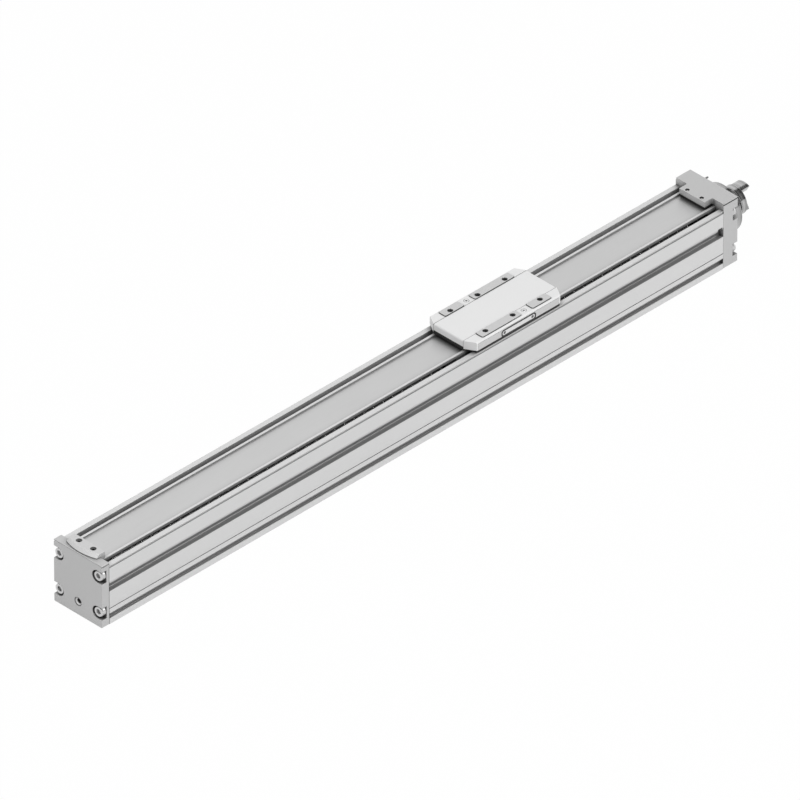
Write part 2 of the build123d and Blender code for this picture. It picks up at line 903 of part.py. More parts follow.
def guide_rail_screws():
    head_top = rail_top - rail_screw_recess
    seat = head_top - rail_screw_head_height
    screws = []
    for x in rail_screw_places():
        head = rod_z(x, 0, seat, head_top, rail_screw_head_radius)
        shank = rod_z(x, 0, floor_thickness - rail_screw_bite, seat, rail_screw_radius)
        screws.append(head + shank)
    return Compound(screws)


def runner_section(gap, inset):
    """A runner block astride the rail, open below; its channel follows the rail."""
    width = runner_width - 2 * inset
    height = runner_height - inset
    outline = Pos(0, runner_bottom + height / 2) * Rectangle(width, height)
    outline = chamfer(outline.vertices().group_by(Axis.Y)[-1], runner_chamfer)
    channel = offset(rail_section(), amount=gap, kind=Kind.INTERSECTION)
    return outline - channel


def runner_centre(side):
    return slide_x + side * runner_offset


def runner_block(side):
    middle = runner_centre(side)
    span = (middle - runner_length / 2, middle + runner_length / 2)
    body = prism_x(runner_section(runner_gap, 0), *span)
    for x, y in runner_screw_places():
        if span[0] < x < span[1]:
            bottom = runner_top - runner_screw_bite
            body -= rod_z(x, y, bottom, runner_top, runner_screw_radius + seat_clearance)
    return body


def runner_end_caps():
    section = runner_section(2 * runner_gap, 2 * runner_gap)
    caps = []
    for side in SIDES:
        for end in SIDES:
            inner = runner_centre(side) + end * runner_length / 2
            outer = inner + end * runner_end_length
            caps.append(prism_x(section, *sorted((inner, outer))))
    return Compound([solid for cap in caps for solid in cap.solids()])


def runner_screw_places():
    """Four screws into each runner block."""
    places = []
    for side in SIDES:
        for along in SIDES:
            for across in SIDES:
                x = runner_centre(side) + along * runner_screw_spacing_x / 2
                places.append((x, across * runner_screw_y))
    return places


def runner_screws():
    seat = carriage_top - runner_screw_head_height
    screws = []
    for x, y in runner_screw_places():
        head = rod_z(x, y, seat, carriage_top, runner_screw_head_radius)
        shank = rod_z(x, y, runner_top - runner_screw_bite, seat, runner_screw_radius)
        screws.append(head + shank)
    return Compound(screws)


def nut_screw_places():
    """Four screws in the nut's flange, beside its flats."""
    places = []
    for base in (0, 180):
        for side in SIDES:
            angle = math.radians(base + side * nut_screw_angle)
            y = nut_screw_circle * math.cos(angle)
            places.append((y, screw_height + nut_screw_circle * math.sin(angle)))
    return places


def inner_carriage():
    """The carriage inside the profile, with the two legs that rise through the slots."""
    block_half = cavity_half_width - carriage_side_gap
    idle_end = slide_x - carriage_half_length
    drive_end = nut_flange_start
    body = block((idle_end, drive_end), (-block_half, block_half), (runner_top, carriage_top))
    leg_span = (slide_x - leg_half_length, slide_x + leg_half_length)
    for side in SIDES:
        shoulder = sorted((side * block_half, side * leg_outer))
        body += block(leg_span, shoulder, (flange_bottom, carriage_top))
        leg = sorted((side * leg_inner, side * leg_outer))
        body += block(leg_span, leg, (flange_bottom, table_bottom))
    nut_end = drive_end - nut_body_length - nut_wiper_thickness
    body -= rod_x(nut_end, drive_end, nut_radius + seat_clearance)
    body -= rod_x(idle_end, nut_end, passage_radius)
    seat = carriage_top - runner_screw_head_height
    for x, y in runner_screw_places():
        body -= rod_z(x, y, runner_top, seat, runner_screw_radius + bolt_clearance)
        body -= rod_z(x, y, seat, carriage_top, runner_screw_head_radius + bolt_clearance)
    for y, z in nut_screw_places():
        radius = nut_screw_radius + seat_clearance
        body -= rod_x(drive_end - nut_screw_bite, drive_end, radius, y, z)
    for x, y in table_screw_places():
        radius = table_screw_radius + seat_clearance
        body -= rod_z(x, y, table_bottom - table_screw_bite, table_bottom, radius)
    return body


def ball_nut():
    body = rod_x(nut_flange_start - nut_body_length, nut_flange_start, nut_radius)
    flange = Circle(nut_flange_radius) & Rectangle(2 * nut_flange_radius, 2 * nut_flange_flat)
    body += prism_x(Pos(0, screw_height) * flange, nut_flange_start, nut_flange_end)
    bore = screw_radius + running_clearance
    body -= rod_x(nut_flange_start - nut_body_length, nut_flange_end, bore)
    seat = nut_flange_end - nut_screw_head_height
    for y, z in nut_screw_places():
        body -= rod_x(nut_flange_start, seat, nut_screw_radius + bolt_clearance, y, z)
        body -= rod_x(seat, nut_flange_end, nut_screw_head_radius + trim_gap, y, z)
    wiper_start = nut_flange_end - nut_wiper_thickness
    body -= rod_x(wiper_start, nut_flange_end, nut_wiper_radius + seat_clearance)
    return body


def nut_screws():
    seat = nut_flange_end - nut_screw_head_height
    screws = []
    for y, z in nut_screw_places():
        shank = rod_x(nut_flange_start - nut_screw_bite, seat, nut_screw_radius, y, z)
        head = rod_x(seat, nut_flange_end, nut_screw_head_radius, y, z)
        screws.append(shank + head)
    return Compound(screws)


def nut_wipers():
    """Plastic wiper rings at both ends of the ball nut."""
    bore = screw_radius + 2 * running_clearance
    body_end = nut_flange_start - nut_body_length
    rings = []
    for start in (body_end - nut_wiper_thickness, nut_flange_end - nut_wiper_thickness):
        rings.append(ring_x(start, start + nut_wiper_thickness, bore, nut_wiper_radius))
    return Compound(rings)


def pad_spans():
    """The four pads: pairs of x, with the side they lie on. The far side is turned round."""
    long_pad = (-long_pad_outer_x, long_pad_inner_x)
    short_pad = (short_pad_inner_x, short_pad_outer_x)
    spans = []
    for low, high in (long_pad, short_pad):
        spans.append((low, high, -1))
        spans.append((-high, -low, 1))
    return spans


def pad_outline(low, high, side, grow=0.0):
    """One pad in plan, with its corners cut."""
    width = pad_outer_y - pad_inner_y + 2 * grow
    pad = Rectangle(high - low + 2 * grow, width)
    pad = chamfer(pad.vertices(), pad_chamfer)
    middle = slide_x + (low + high) / 2
    return Pos(middle, side * (pad_inner_y + pad_outer_y) / 2) * pad


def table_screw_places():
    """Four screws from the table into the carriage's legs."""
    y = (leg_inner + leg_outer) / 2
    places = []
    for along in SIDES:
        for across in SIDES:
            places.append((slide_x + along * table_screw_x, across * y))
    return places


def nipple_places():
    """The two grease nipples, one on each side."""
    return [(slide_x - side * nipple_x, side * nipple_y) for side in SIDES]


def side_plate_outline(grow=0.0):
    """The side plate seen from the side: its upper corners are round."""
    length = 2 * (side_plate_half_length + grow)
    height = side_plate_height + grow
    outline = Rectangle(length, height)
    upper = outline.vertices().group_by(Axis.Y)[-1]
    outline = fillet(upper, side_plate_corner_radius)
    return Pos(slide_x, table_bottom + height / 2) * outline


def plate_y(outline, outer, inner):
    """An outline seen from the side, as a plate between two distances from the middle."""
    return extrude(Plane.XZ.offset(inner) * outline, amount=outer - inner)


def side_plate_screw_places():
    height = table_bottom + side_plate_height / 2
    return [(slide_x + side * side_plate_screw_spacing / 2, height) for side in SIDES]


def rod_y(x, z, outer, inner, radius):
    """A round bar across the axis on the near side, between two distances from the middle."""
    bar = Cylinder(radius, outer - inner, align=BOTTOM)
    return Pos(x, -inner, z) * Rot(90, 0, 0) * bar


def slide_table():
    """The machined table: a plate with four raised pads and its holes."""
    ends = (slide_x - table_half_length, slide_x + table_half_length)
    heights = (table_bottom, table_top)
    body = block(ends, (-slide_half_width, slide_half_width), heights)
    for low, high, side in pad_spans():
        body += plate_z(pad_outline(low, high, side), table_top, pad_top)
    for along in SIDES:
        for across in SIDES:
            x = slide_x + along * table_hole_spacing_x / 2
            y = across * table_hole_y
            body -= rod_z(x, y, pad_top - table_hole_depth, pad_top, table_hole_radius)
    for across in SIDES:
        y = across * table_hole_y
        bottom = pad_top - centring_hole_depth
        body -= rod_z(slide_x, y, bottom, pad_top, centring_hole_radius)
    rims = body.edges().filter_by(GeomType.CIRCLE).group_by(Axis.Z)[-1]
    body = chamfer(rims, table_hole_chamfer)
    seat = table_top - table_screw_head_height
    for x, y in table_screw_places():
        body -= rod_z(x, y, table_bottom, seat, table_screw_radius + bolt_clearance)
        body -= rod_z(x, y, seat, table_top, table_screw_head_radius + bolt_clearance)
    for x, y in nipple_places():
        bottom = table_top - nipple_stem_length
        body -= rod_z(x, y, bottom, table_top, nipple_stem_radius + seat_clearance)
    recess_floor_y = slide_half_width - side_plate_thickness
    body -= plate_y(side_plate_outline(side_plate_gap), slide_half_width, recess_floor_y)
    inner = slide_half_width - side_plate_screw_length
    for x, z in side_plate_screw_places():
        radius = side_plate_screw_radius + seat_clearance
        body -= rod_y(x, z, slide_half_width, inner, radius)
    return body


def table_screws():
    seat = table_top - table_screw_head_height
    screws = []
    for x, y in table_screw_places():
        head = rod_z(x, y, seat, table_top, table_screw_head_radius)
        shank = rod_z(x, y, table_bottom - table_screw_bite, seat, table_screw_radius)
        screws.append(head + shank)
    return Compound(screws)


def slide_plan():
    """The whole slide in plan: straight at its middle, slanted at its corners."""
    centre = slide_centre_half_length
    side = slide_side_half_length
    points = []
    for along, across in ((1, -1), (1, 1), (-1, 1), (-1, -1)):
        inner = (slide_x + along * centre, across * cover_half_width)
        outer = (slide_x + along * side, across * slide_half_width)
        points += [outer, inner] if along * across < 0 else [inner, outer]
    return make_face(Polyline(*points, close=True))


def side_cover(side):
    """A white side cover: a thin top with windows for the pads, and two solid corners."""
    inner = cover_half_width + trim_gap
    band_width = slide_half_width - inner
    band = Pos(slide_x, side * (inner + band_width / 2))
    band = band * Rectangle(4 * slide_centre_half_length, band_width)
    outline = slide_plan() & band
    body = plate_z(outline, table_bottom, cover_top)
    body = chamfer(outer_top_edge(body, side), side_edge_chamfer)
    ends = (slide_x - table_half_length, slide_x + table_half_length)
    body -= block(ends, (-slide_half_width - 1.0, slide_half_width + 1.0),
                  (table_bottom, table_top))
    for low, high, pad_side in pad_spans():
        if pad_side == side:
            window = pad_outline(low, high, side, trim_gap)
            body -= plate_z(window, table_top, cover_top)
    for x, y in nipple_places():
        if y * side > 0:
            body -= rod_z(x, y, table_top, cover_top, nipple_radius + trim_gap)
    return body


def outer_top_edge(body, side):
    """The long top edge on the outer side of a side cover."""
    edges = body.edges().filter_by(Axis.X).group_by(Axis.Z)[-1]
    return edges.sort_by(Axis.Y)[-1 if side > 0 else 0]


def slide_cover():
    """The white middle cover, rounded at its ends and open over the cover strip."""
    length = 2 * slide_centre_half_length
    body = plate_z(Pos(slide_x, 0) * Rectangle(length, 2 * cover_half_width),
                   table_bottom + cover_end_lift, cover_top)
    ends = body.edges().filter_by(Axis.Y).group_by(Axis.Z)[-1]
    body = fillet(ends, cover_edge_radius)
    span = (slide_x - table_half_length, slide_x + table_half_length)
    room = (-slide_half_width, slide_half_width)
    return body - block(span, room, (table_bottom, table_top))


def strip_wiper(side):
    """A wiper under the cover's end: it reaches down between the carrier's lips."""
    top = table_bottom + cover_end_lift
    outer = slide_x + side * (slide_centre_half_length - wiper_inset)
    inner = outer - side * wiper_length
    half = cover_half_width - wiper_side_gap
    tongue_half = strip_half_width - wiper_side_gap
    wide = Pos(0, (carrier_top + wiper_gap + top) / 2)
    wide = wide * Rectangle(2 * half, top - carrier_top - wiper_gap)
    tongue = Pos(0, (strip_top + wiper_gap + top) / 2)
    tongue = tongue * Rectangle(2 * tongue_half, top - strip_top - wiper_gap)
    return prism_x(wide + tongue, *sorted((inner, outer)))


def grease_nipples():
    nipples = []
    for x, y in nipple_places():
        stem = rod_z(x, y, table_top - nipple_stem_length, table_top, nipple_stem_radius)
        head = rod_z(x, y, table_top, cover_top, nipple_radius)
        port = rod_z(x, y, cover_top - nipple_port_depth, cover_top, nipple_port_radius)
        nipples.append(stem + head - port)
    return Compound(nipples)


def side_plate():
    floor = slide_half_width - side_plate_thickness
    outer = slide_half_width - trim_gap
    body = plate_y(side_plate_outline(), outer, floor)
    head_depth = side_plate_thickness / 2
    for x, z in side_plate_screw_places():
        radius = side_plate_screw_head_radius + trim_gap
        body -= rod_y(x, z, outer, floor + head_depth, radius)
        body -= rod_y(x, z, outer, floor, side_plate_screw_radius + trim_gap)
    return body


def side_plate_screws():
    floor = slide_half_width - side_plate_thickness
    outer = slide_half_width - trim_gap
    inner = slide_half_width - side_plate_screw_length
    seat = floor + side_plate_thickness / 2
    screws = []
    for x, z in side_plate_screw_places():
        shank = rod_y(x, z, seat, inner, side_plate_screw_radius)
        screws.append(shank + rod_y(x, z, outer - trim_gap, seat, side_plate_screw_head_radius))
    return Compound(screws)


PIECES = {
    "profile_extrusion": profile_extrusion,
    "idle_end_cap": idle_end_cap,
    "idle_cap_screws": lambda: cap_screws(idle_face, 1),
    "drive_bearing_block": drive_bearing_block,
    "drive_block_screws": lambda: cap_screws(drive_face, -1),
    "locating_pin": locating_pin,
    "centring_collar": centring_collar,
    "collar_screws": collar_screws,
    "cover_carrier": cover_carrier,
    "magnet_strips": magnet_strips,
    "cover_strip": cover_strip,
    "strip_clamp_idle": strip_clamp_idle,
    "strip_clamp_screws": strip_clamp_screws,
    "strip_clamp_drive": strip_clamp_drive,
    "strip_grub_screws": strip_grub_screws,
    "guide_rail": guide_rail,
    "guide_rail_screws": guide_rail_screws,
    "buffer_idle": buffer_idle,
    "buffer_drive": buffer_drive,
    "drive_bearing_outer_ring": drive_bearing_outer_ring,
    "drive_bearing_shields": drive_bearing_shields,
    "support_bearing_outer_ring": support_bearing_outer_ring,
    "support_bearing_shields": support_bearing_shields,
    "ball_screw": ball_screw,
    "drive_bearing_inner_ring": drive_bearing_inner_ring,
    "support_bearing_inner_ring": support_bearing_inner_ring,
    "support_circlip": support_circlip,
    "shaft_lock_nut": shaft_lock_nut,
    "coupling_hub": coupling_hub,
    "coupling_clamp_screw": coupling_clamp_screw,
    "slide_table": slide_table,
    "inner_carriage": inner_carriage,
    "table_screws": table_screws,
    "slide_cover": slide_cover,
    "side_cover_near": lambda: side_cover(-1),
    "side_cover_far": lambda: side_cover(1),
    "strip_wiper_idle": lambda: strip_wiper(-1),
    "strip_wiper_drive": lambda: strip_wiper(1),
    "grease_nipples": grease_nipples,
    "side_plate": side_plate,
    "side_plate_screws": side_plate_screws,
    "runner_block_idle": lambda: runner_block(-1),
    "runner_block_drive": lambda: runner_block(1),
    "runner_end_caps": runner_end_caps,
    "runner_screws": runner_screws,
    "ball_nut": ball_nut,
    "nut_screws": nut_screws,
    "nut_wipers": nut_wipers,
}


def main():
    os.makedirs("parts", exist_ok=True)
    for name, make in PIECES.items():
        piece = make()
        export_step(piece, os.path.join("parts", name + ".step"))
        print(name, round(piece.volume, 1))


main()
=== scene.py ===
"""Looks of a screw-driven linear axis: finishes, eased edges, threads and fasteners.

Pieces are measured in millimetres, and the studio and the finishes in metres. What the frame
holds, such as the axis's height and the ends' faces, is read from it.
"""

import json
import logging
import math
from dataclasses import dataclass
from enum import Enum

import bmesh
import bpy
from bmesh.types import BMEdge, BMesh, BMFace, BMVert
from mathutils import Matrix, Vector

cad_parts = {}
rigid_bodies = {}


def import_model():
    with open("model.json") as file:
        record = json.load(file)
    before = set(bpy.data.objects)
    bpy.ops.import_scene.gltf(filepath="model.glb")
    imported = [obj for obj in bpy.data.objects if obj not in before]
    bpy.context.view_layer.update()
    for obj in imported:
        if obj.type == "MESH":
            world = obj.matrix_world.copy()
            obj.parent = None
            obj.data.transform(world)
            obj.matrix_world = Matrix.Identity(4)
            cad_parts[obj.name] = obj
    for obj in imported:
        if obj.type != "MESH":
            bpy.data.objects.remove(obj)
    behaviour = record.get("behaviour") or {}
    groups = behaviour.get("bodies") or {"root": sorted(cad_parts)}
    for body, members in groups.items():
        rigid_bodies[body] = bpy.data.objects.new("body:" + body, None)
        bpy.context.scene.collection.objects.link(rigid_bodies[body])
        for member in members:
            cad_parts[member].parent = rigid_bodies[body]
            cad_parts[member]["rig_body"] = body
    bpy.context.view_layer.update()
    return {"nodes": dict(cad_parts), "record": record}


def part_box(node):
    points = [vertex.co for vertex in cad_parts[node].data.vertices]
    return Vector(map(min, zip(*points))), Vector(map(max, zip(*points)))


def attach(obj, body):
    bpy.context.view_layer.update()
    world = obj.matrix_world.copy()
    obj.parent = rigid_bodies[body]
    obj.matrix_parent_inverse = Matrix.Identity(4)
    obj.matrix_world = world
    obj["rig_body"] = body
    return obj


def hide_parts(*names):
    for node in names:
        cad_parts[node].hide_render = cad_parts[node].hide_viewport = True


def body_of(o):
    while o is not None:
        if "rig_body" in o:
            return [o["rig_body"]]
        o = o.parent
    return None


Triple = tuple[float, float, float]
Socket = bpy.types.NodeSocket

logging.basicConfig(level=logging.INFO, format="%(message)s")
log = logging.getLogger("linear_axis")

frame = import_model()

MM = 0.001
IMAGE_SIDE_PX = 800
SMOOTH_BELOW_DEG = 30.0
FLAT_WITHIN_DEG = 0.4
SAME_POINT_M = 2.0e-6
BASE, SLIDE, SCREW = "base", "slide", "screw"
LEFT, RIGHT, NEAR, FAR, UP = (Vector(v) for v in (
    (-1, 0, 0), (1, 0, 0), (0, -1, 0), (0, 1, 0), (0, 0, 1)))


def box_mm(node: str) -> tuple[Vector, Vector]:
    """A CAD node's lowest and highest corner at rest, in millimetres."""
    low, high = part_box(node)
    return low / MM, high / MM


SCREW_LOW, SCREW_HIGH = box_mm("ball_screw")
PROFILE_LOW, PROFILE_HIGH = box_mm("profile_extrusion")
TABLE_LOW, TABLE_HIGH = box_mm("slide_table")
COVER_LOW, COVER_HIGH = box_mm("slide_cover")
AXIS_HEIGHT_MM = (SCREW_LOW.z + SCREW_HIGH.z) / 2
IDLE_FACE_X = box_mm("idle_end_cap")[0].x
DRIVE_FACE_X = box_mm("drive_bearing_block")[1].x
POCKET_DEPTH = 6.0


class Grain(Enum):
    """The direction in which a tool or a die has left its fine lines."""

    LENGTHWISE = "lengthwise"
    TURNED = "turned"
    CAST = "cast"


GRAIN_STRETCH = {Grain.LENGTHWISE: (0.012, 1.0, 1.0), Grain.CAST: (1.0, 1.0, 1.0)}
CLOUD_STRETCH = (0.4, 1.0, 1.0)
CLOUDS_PER_M = 35.0
CLOUD_SHARE = 0.35
NOISE_SPAN = (0.3, 0.7)
# Where the painted edge highlight starts and where it is full, as the dot of two normals.
EDGE_HIGHLIGHT_SPAN = (0.99, 0.8)
LOW_REACH_M = 0.0003
REACH_PER_HEIGHT = 0.9
# How far the painted shade band rises to full at its foot.
SHADE_BAND_RISE_MM = 0.2


class Outline(Enum):
    """The shape of one ring of a turned piece."""

    ROUND = "round"
    HEXAGON = "hexagon"
    KNURLED = "knurled"


class NodeBench:
    """Adds shader nodes to one material and wires them."""

    def __init__(self, material: bpy.types.Material) -> None:
        """Empties the material's tree and puts a Principled shader on its output.

        Args:
            material: The material to build.
        """
        material.use_nodes = True
        self.tree = material.node_tree
        self.tree.nodes.clear()
        self.output = self.node("OutputMaterial")
        self.shader = self.node("BsdfPrincipled")
        self.wire(self.shader.outputs["BSDF"], self.output.inputs["Surface"])

    def wire(self, source: Socket, target: Socket) -> None:
        """Links one socket to another."""
        self.tree.links.new(source, target)

    def node(self, kind: str, **values: object) -> bpy.types.Node:
        """Adds a node and sets its properties.

        Args:
            kind: The node's type name without its ShaderNode prefix.
            **values: Properties of the node.

        Returns:
            The new node.
        """
        made = self.tree.nodes.new("ShaderNode" + kind)
        for name, value in values.items():
            setattr(made, name, value)
        return made

    def axes(self) -> bpy.types.NodeOutputs:
        """Object coordinates, split into X, Y and Z."""
        split = self.node("SeparateXYZ")
        self.wire(self.node("TexCoord").outputs["Object"], split.inputs["Vector"])
        return split.outputs

    def place(self, scale: Triple) -> Socket:
        """Object coordinates, stretched along the object's axes.

        Args:
            scale: The factor for each axis.

        Returns:
            The mapped vector.
        """
        mapping = self.node("Mapping")
        mapping.inputs["Scale"].default_value = scale
        self.wire(self.node("TexCoord").outputs["Object"], mapping.inputs["Vector"])
        return mapping.outputs["Vector"]

    def turned_place(self, height: float) -> Socket:
        """A vector that changes with the distance from the screw's centre line only.

        Args:
            height: The centre line's height, in metres.

        Returns:
            A vector for a noise texture, so that it draws rings.
        """
        mapping = self.node("Mapping")
        mapping.inputs["Location"].default_value = (0, 0, -height)
        mapping.inputs["Scale"].default_value = (0, 1, 1)
        self.wire(self.node("TexCoord").outputs["Object"], mapping.inputs["Vector"])
        length = self.node("VectorMath", operation="LENGTH")
        self.wire(mapping.outputs["Vector"], length.inputs[0])
        joined = self.node("CombineXYZ")
        self.wire(length.outputs["Value"], joined.inputs["X"])
        self.wire(self.axes()["X"], joined.inputs["Y"])
        return joined.outputs["Vector"]

    def noise(self, vector: Socket, scale: float, detail: float) -> Socket:
        """A noise value.

        Args:
            vector: Where it is read.
            scale: Cells per metre of that vector.
            detail: Octaves.

        Returns:
            The noise's factor socket.
        """
        texture = self.node("TexNoise")
        texture.inputs["Scale"].default_value = scale
        texture.inputs["Detail"].default_value = detail
        self.wire(vector, texture.inputs["Vector"])
        return texture.outputs["Fac"]

    def spread(self, value: Socket, span: tuple[float, float], low: float, high: float) -> Socket:
        """Maps a value from one range to another.

        Args:
            value: The value.
            span: Where it starts and ends.
            low: What the start becomes.
            high: What the end becomes.

        Returns:
            The mapped value.
        """
        mapped = self.node("MapRange")
        for name, number in zip(("From Min", "From Max", "To Min", "To Max"), (*span, low, high)):
            mapped.inputs[name].default_value = number
        self.wire(value, mapped.inputs["Value"])
        return mapped.outputs["Result"]

    def mix(self, factor: Socket, first: object, second: object) -> Socket:
        """Mixes two colours, each of them a socket or red, green and blue.

        Args:
            factor: The second one's share.
            first: The colour at 0.
            second: The colour at 1.

        Returns:
            The mixed colour.
        """
        made = self.node("Mix", data_type="RGBA")
        self.wire(factor, made.inputs["Factor"])
        for name, colour in (("A", first), ("B", second)):
            if isinstance(colour, tuple):
                made.inputs[name].default_value = (*colour, 1)
            else:
                self.wire(colour, made.inputs[name])
        return made.outputs["Result"]

    def edge_highlight(self, radius: float, most: float) -> Socket:
        """How far a point lies on an outer edge, from 0 to most; there a painted highlight
        lightens the tint.

        Args:
            radius: The edge's reach, in metres.
            most: The value on the edge itself.

        Returns:
            The share.
        """
        eased = self.node("Bevel", samples=4)
        eased.inputs["Radius"].default_value = radius
        real = self.node("NewGeometry")
        dot = self.node("VectorMath", operation="DOT_PRODUCT")
        self.wire(eased.outputs["Normal"], dot.inputs[0])
        self.wire(real.outputs["Normal"], dot.inputs[1])
        return self.spread(dot.outputs["Value"], EDGE_HIGHLIGHT_SPAN, 0.0, most)

    def shelter(self, reach: float, span: tuple[float, float]) -> Socket:
        """How open a point lies: 0 deep in a groove, 1 on a free face; painted shade darkens the
        tint where it is low.

        Args:
            reach: How far it looks for walls, in metres; low down it looks less far, so that
                the floor doesn't count.
            span: The open shares of the sky that count as 0 and as 1.

        Returns:
            The openness.
        """
        opened = self.node("AmbientOcclusion", samples=8)
        nearest = self.node("Math", operation="MINIMUM")
        nearest.inputs[1].default_value = reach
        low = self.spread(self.axes()["Z"], (0.0, 1.0), LOW_REACH_M, REACH_PER_HEIGHT)
        self.wire(low, nearest.inputs[0])
        self.wire(nearest.outputs["Value"], opened.inputs["Distance"])
        return self.spread(opened.outputs["AO"], span, 0.0, 1.0)

    def band(self, heights_mm: Triple, share: float) -> Socket:
        """A level band of painted shade that starts at once at its foot and fades out towards its
        top.

        Args:
            heights_mm: Its foot, where it starts to fade, and its top, in millimetres.
            share: Its value where it is full.

        Returns:
            The band's share at a point.
        """
        foot, full, top = (height * MM for height in heights_mm)
        least = self.node("Math", operation="MINIMUM")
        height = self.axes()["Z"]
        rise = (foot, foot + SHADE_BAND_RISE_MM * MM)
        for index, span in enumerate((rise, (top, full))):
            self.wire(self.spread(height, span, 0.0, share), least.inputs[index])
        return least.outputs["Value"]

    def bump(self, value: Socket, depth: float) -> None:
        """Raises the surface by a noise value, over a depth in metres."""
        bump = self.node("Bump")
        bump.inputs["Distance"].default_value = depth
        bump.inputs["Strength"].default_value = 1.0
        self.wire(value, bump.inputs["Height"])
        self.wire(bump.outputs["Normal"], self.shader.inputs["Normal"])


@dataclass(frozen=True)
class Finish:
    """One finish: its tint, its gloss, its fine grain, a painted highlight on its outer edges and
    painted shade in its corners and grooves.
    """

    name: str
    grey: Triple
    metallic: float
    rough: float
    grain: Grain = Grain.CAST
    lines_per_m: float = 2500.0
    contrast: float = 0.04
    rough_spread: float = 0.05
    relief: float = 2.0e-6
    # Painted highlight on outer edges: its share, its reach in metres and how much brighter it is.
    edge_highlight_share: float = 0.5
    edge_highlight_reach: float = 0.0004
    edge_highlight_gain: float = 1.25
    # Painted shade in grooves and corners: how dark it gets, how far it looks and the open shares
    # that count.
    corner_shade: float = 0.16
    corner_reach: float = 0.007
    corner_span: tuple[float, float] = (0.42, 0.97)
    # A level band of painted shade: its heights in millimetres, its share and how dark it is.
    shade_band_mm: Triple | None = None
    shade_band_share: float = 0.8
    band_shade: float = 0.42

    def material(self) -> bpy.types.Material:
        """Builds the finish, or returns it when it is already there.

        Returns:
            The material.
        """
        known = bpy.data.materials.get(self.name)
        if known is not None:
            return known
        made = bpy.data.materials.new(self.name)
        bench = NodeBench(made)
        if self.grain is Grain.TURNED:
            vector = bench.turned_place(AXIS_HEIGHT_MM * MM)
        else:
            vector = bench.place(GRAIN_STRETCH[self.grain])
        fine = bench.noise(vector, self.lines_per_m, 4.0)
        broad = bench.noise(bench.place(CLOUD_STRETCH), CLOUDS_PER_M, 2.0)
        blend = bench.node("Mix", data_type="FLOAT")
        blend.inputs["Factor"].default_value = CLOUD_SHARE
        bench.wire(fine, blend.inputs["A"])
        bench.wire(broad, blend.inputs["B"])
        cloud = bench.spread(blend.outputs["Result"], NOISE_SPAN, 0.0, 1.0)
        dark = tuple(c * (1 - self.contrast) for c in self.grey)
        light = tuple(min(1.0, c * (1 + self.contrast)) for c in self.grey)
        # A brighter copy of the tint, for the painted edge highlight.
        bright = tuple(min(1.0, c * self.edge_highlight_gain) for c in self.grey)
        # A dark copy of the tint, for the painted shade in grooves and corners.
        deep = tuple(c * self.corner_shade for c in self.grey)
        tint = bench.mix(cloud, dark, light)
        # Painted highlight on outer edges.
        tint = bench.mix(bench.edge_highlight(self.edge_highlight_reach, self.edge_highlight_share), tint, bright)
        # Painted shade in corners and grooves, from ambient occlusion.
        tint = bench.mix(bench.shelter(self.corner_reach, self.corner_span), deep, tint)
        # Painted shade in a level band, where the finish has one.
        if self.shade_band_mm is not None:
            shaded = tuple(c * self.band_shade for c in self.grey)
            tint = bench.mix(bench.band(self.shade_band_mm, self.shade_band_share), tint, shaded)
        bench.wire(tint, bench.shader.inputs["Base Color"])
        smooth, rough = self.rough - self.rough_spread, self.rough + self.rough_spread
        gloss = bench.spread(cloud, (0.0, 1.0), smooth, rough)
        bench.wire(gloss, bench.shader.inputs["Roughness"])
        bench.bump(fine, self.relief)
        bench.shader.inputs["Metallic"].default_value = self.metallic
        return made


def linear(level: int) -> float:
    """The linear value of an 8-bit grey level."""
    share = level / 255
    return share / 12.92 if share <= 0.04045 else ((share + 0.055) / 1.055) ** 2.4


def grey(level: int) -> Triple:
    """An 8-bit grey level as linear red, green and blue."""
    return (linear(level),) * 3


# The extrusion, with painted shade in a level band over the sensor slot and its rolled upper lip,
# 35.1 to 46.5 mm.
ANODISED = Finish("anodised_extrusion", grey(217), 0.45, 0.42, Grain.LENGTHWISE, 1800, 0.03,
                  edge_highlight_share=0.3, corner_shade=0.3, shade_band_mm=(35.1, 41.5, 46.5))
CAP_ALUMINIUM = Finish("milled_cap_aluminium", grey(196), 0.45, 0.46, Grain.CAST, 1500, 0.03)
MACHINED = Finish("machined_table_aluminium", grey(206), 0.4, 0.44, Grain.LENGTHWISE, 1200, 0.03)
STRIP_STEEL = Finish("brushed_strip_steel", grey(201), 0.6, 0.38, Grain.LENGTHWISE, 2600, 0.04)
CLAMP_ALUMINIUM = Finish("clamp_aluminium", grey(206), 0.45, 0.46, Grain.CAST, 1500, 0.03,
                         corner_shade=0.5, corner_reach=0.0012)
# The nipples' own bright steel, also laid on the port's chamfer as a painted highlight.
NIPPLE_STEEL_AND_HIGHLIGHT = Finish("bright_nipple_steel_and_highlight", grey(226), 0.3, 0.35, Grain.CAST, 1800, 0.03,
                      corner_reach=0.002)
SHADED_THREAD = Finish("shaded_thread", grey(70), 0.5, 0.5, Grain.CAST, 1800, 0.05)
# A dark copy of the plated finish: painted shade on heads that sit in recesses, also used for the
# port's painted shadow ring.
SHADED_SUNK_HEAD = Finish("shaded_sunk_fastener_head", grey(112), 0.7, 0.4, Grain.CAST, 1800, 0.05)
PLATED = Finish("plated_fastener", grey(205), 0.8, 0.33, Grain.CAST, 1800, 0.05,
                corner_shade=0.7, corner_reach=0.0025)
GROUND = Finish("ground_bearing_steel", grey(200), 0.95, 0.2, Grain.CAST, 2500, 0.02)
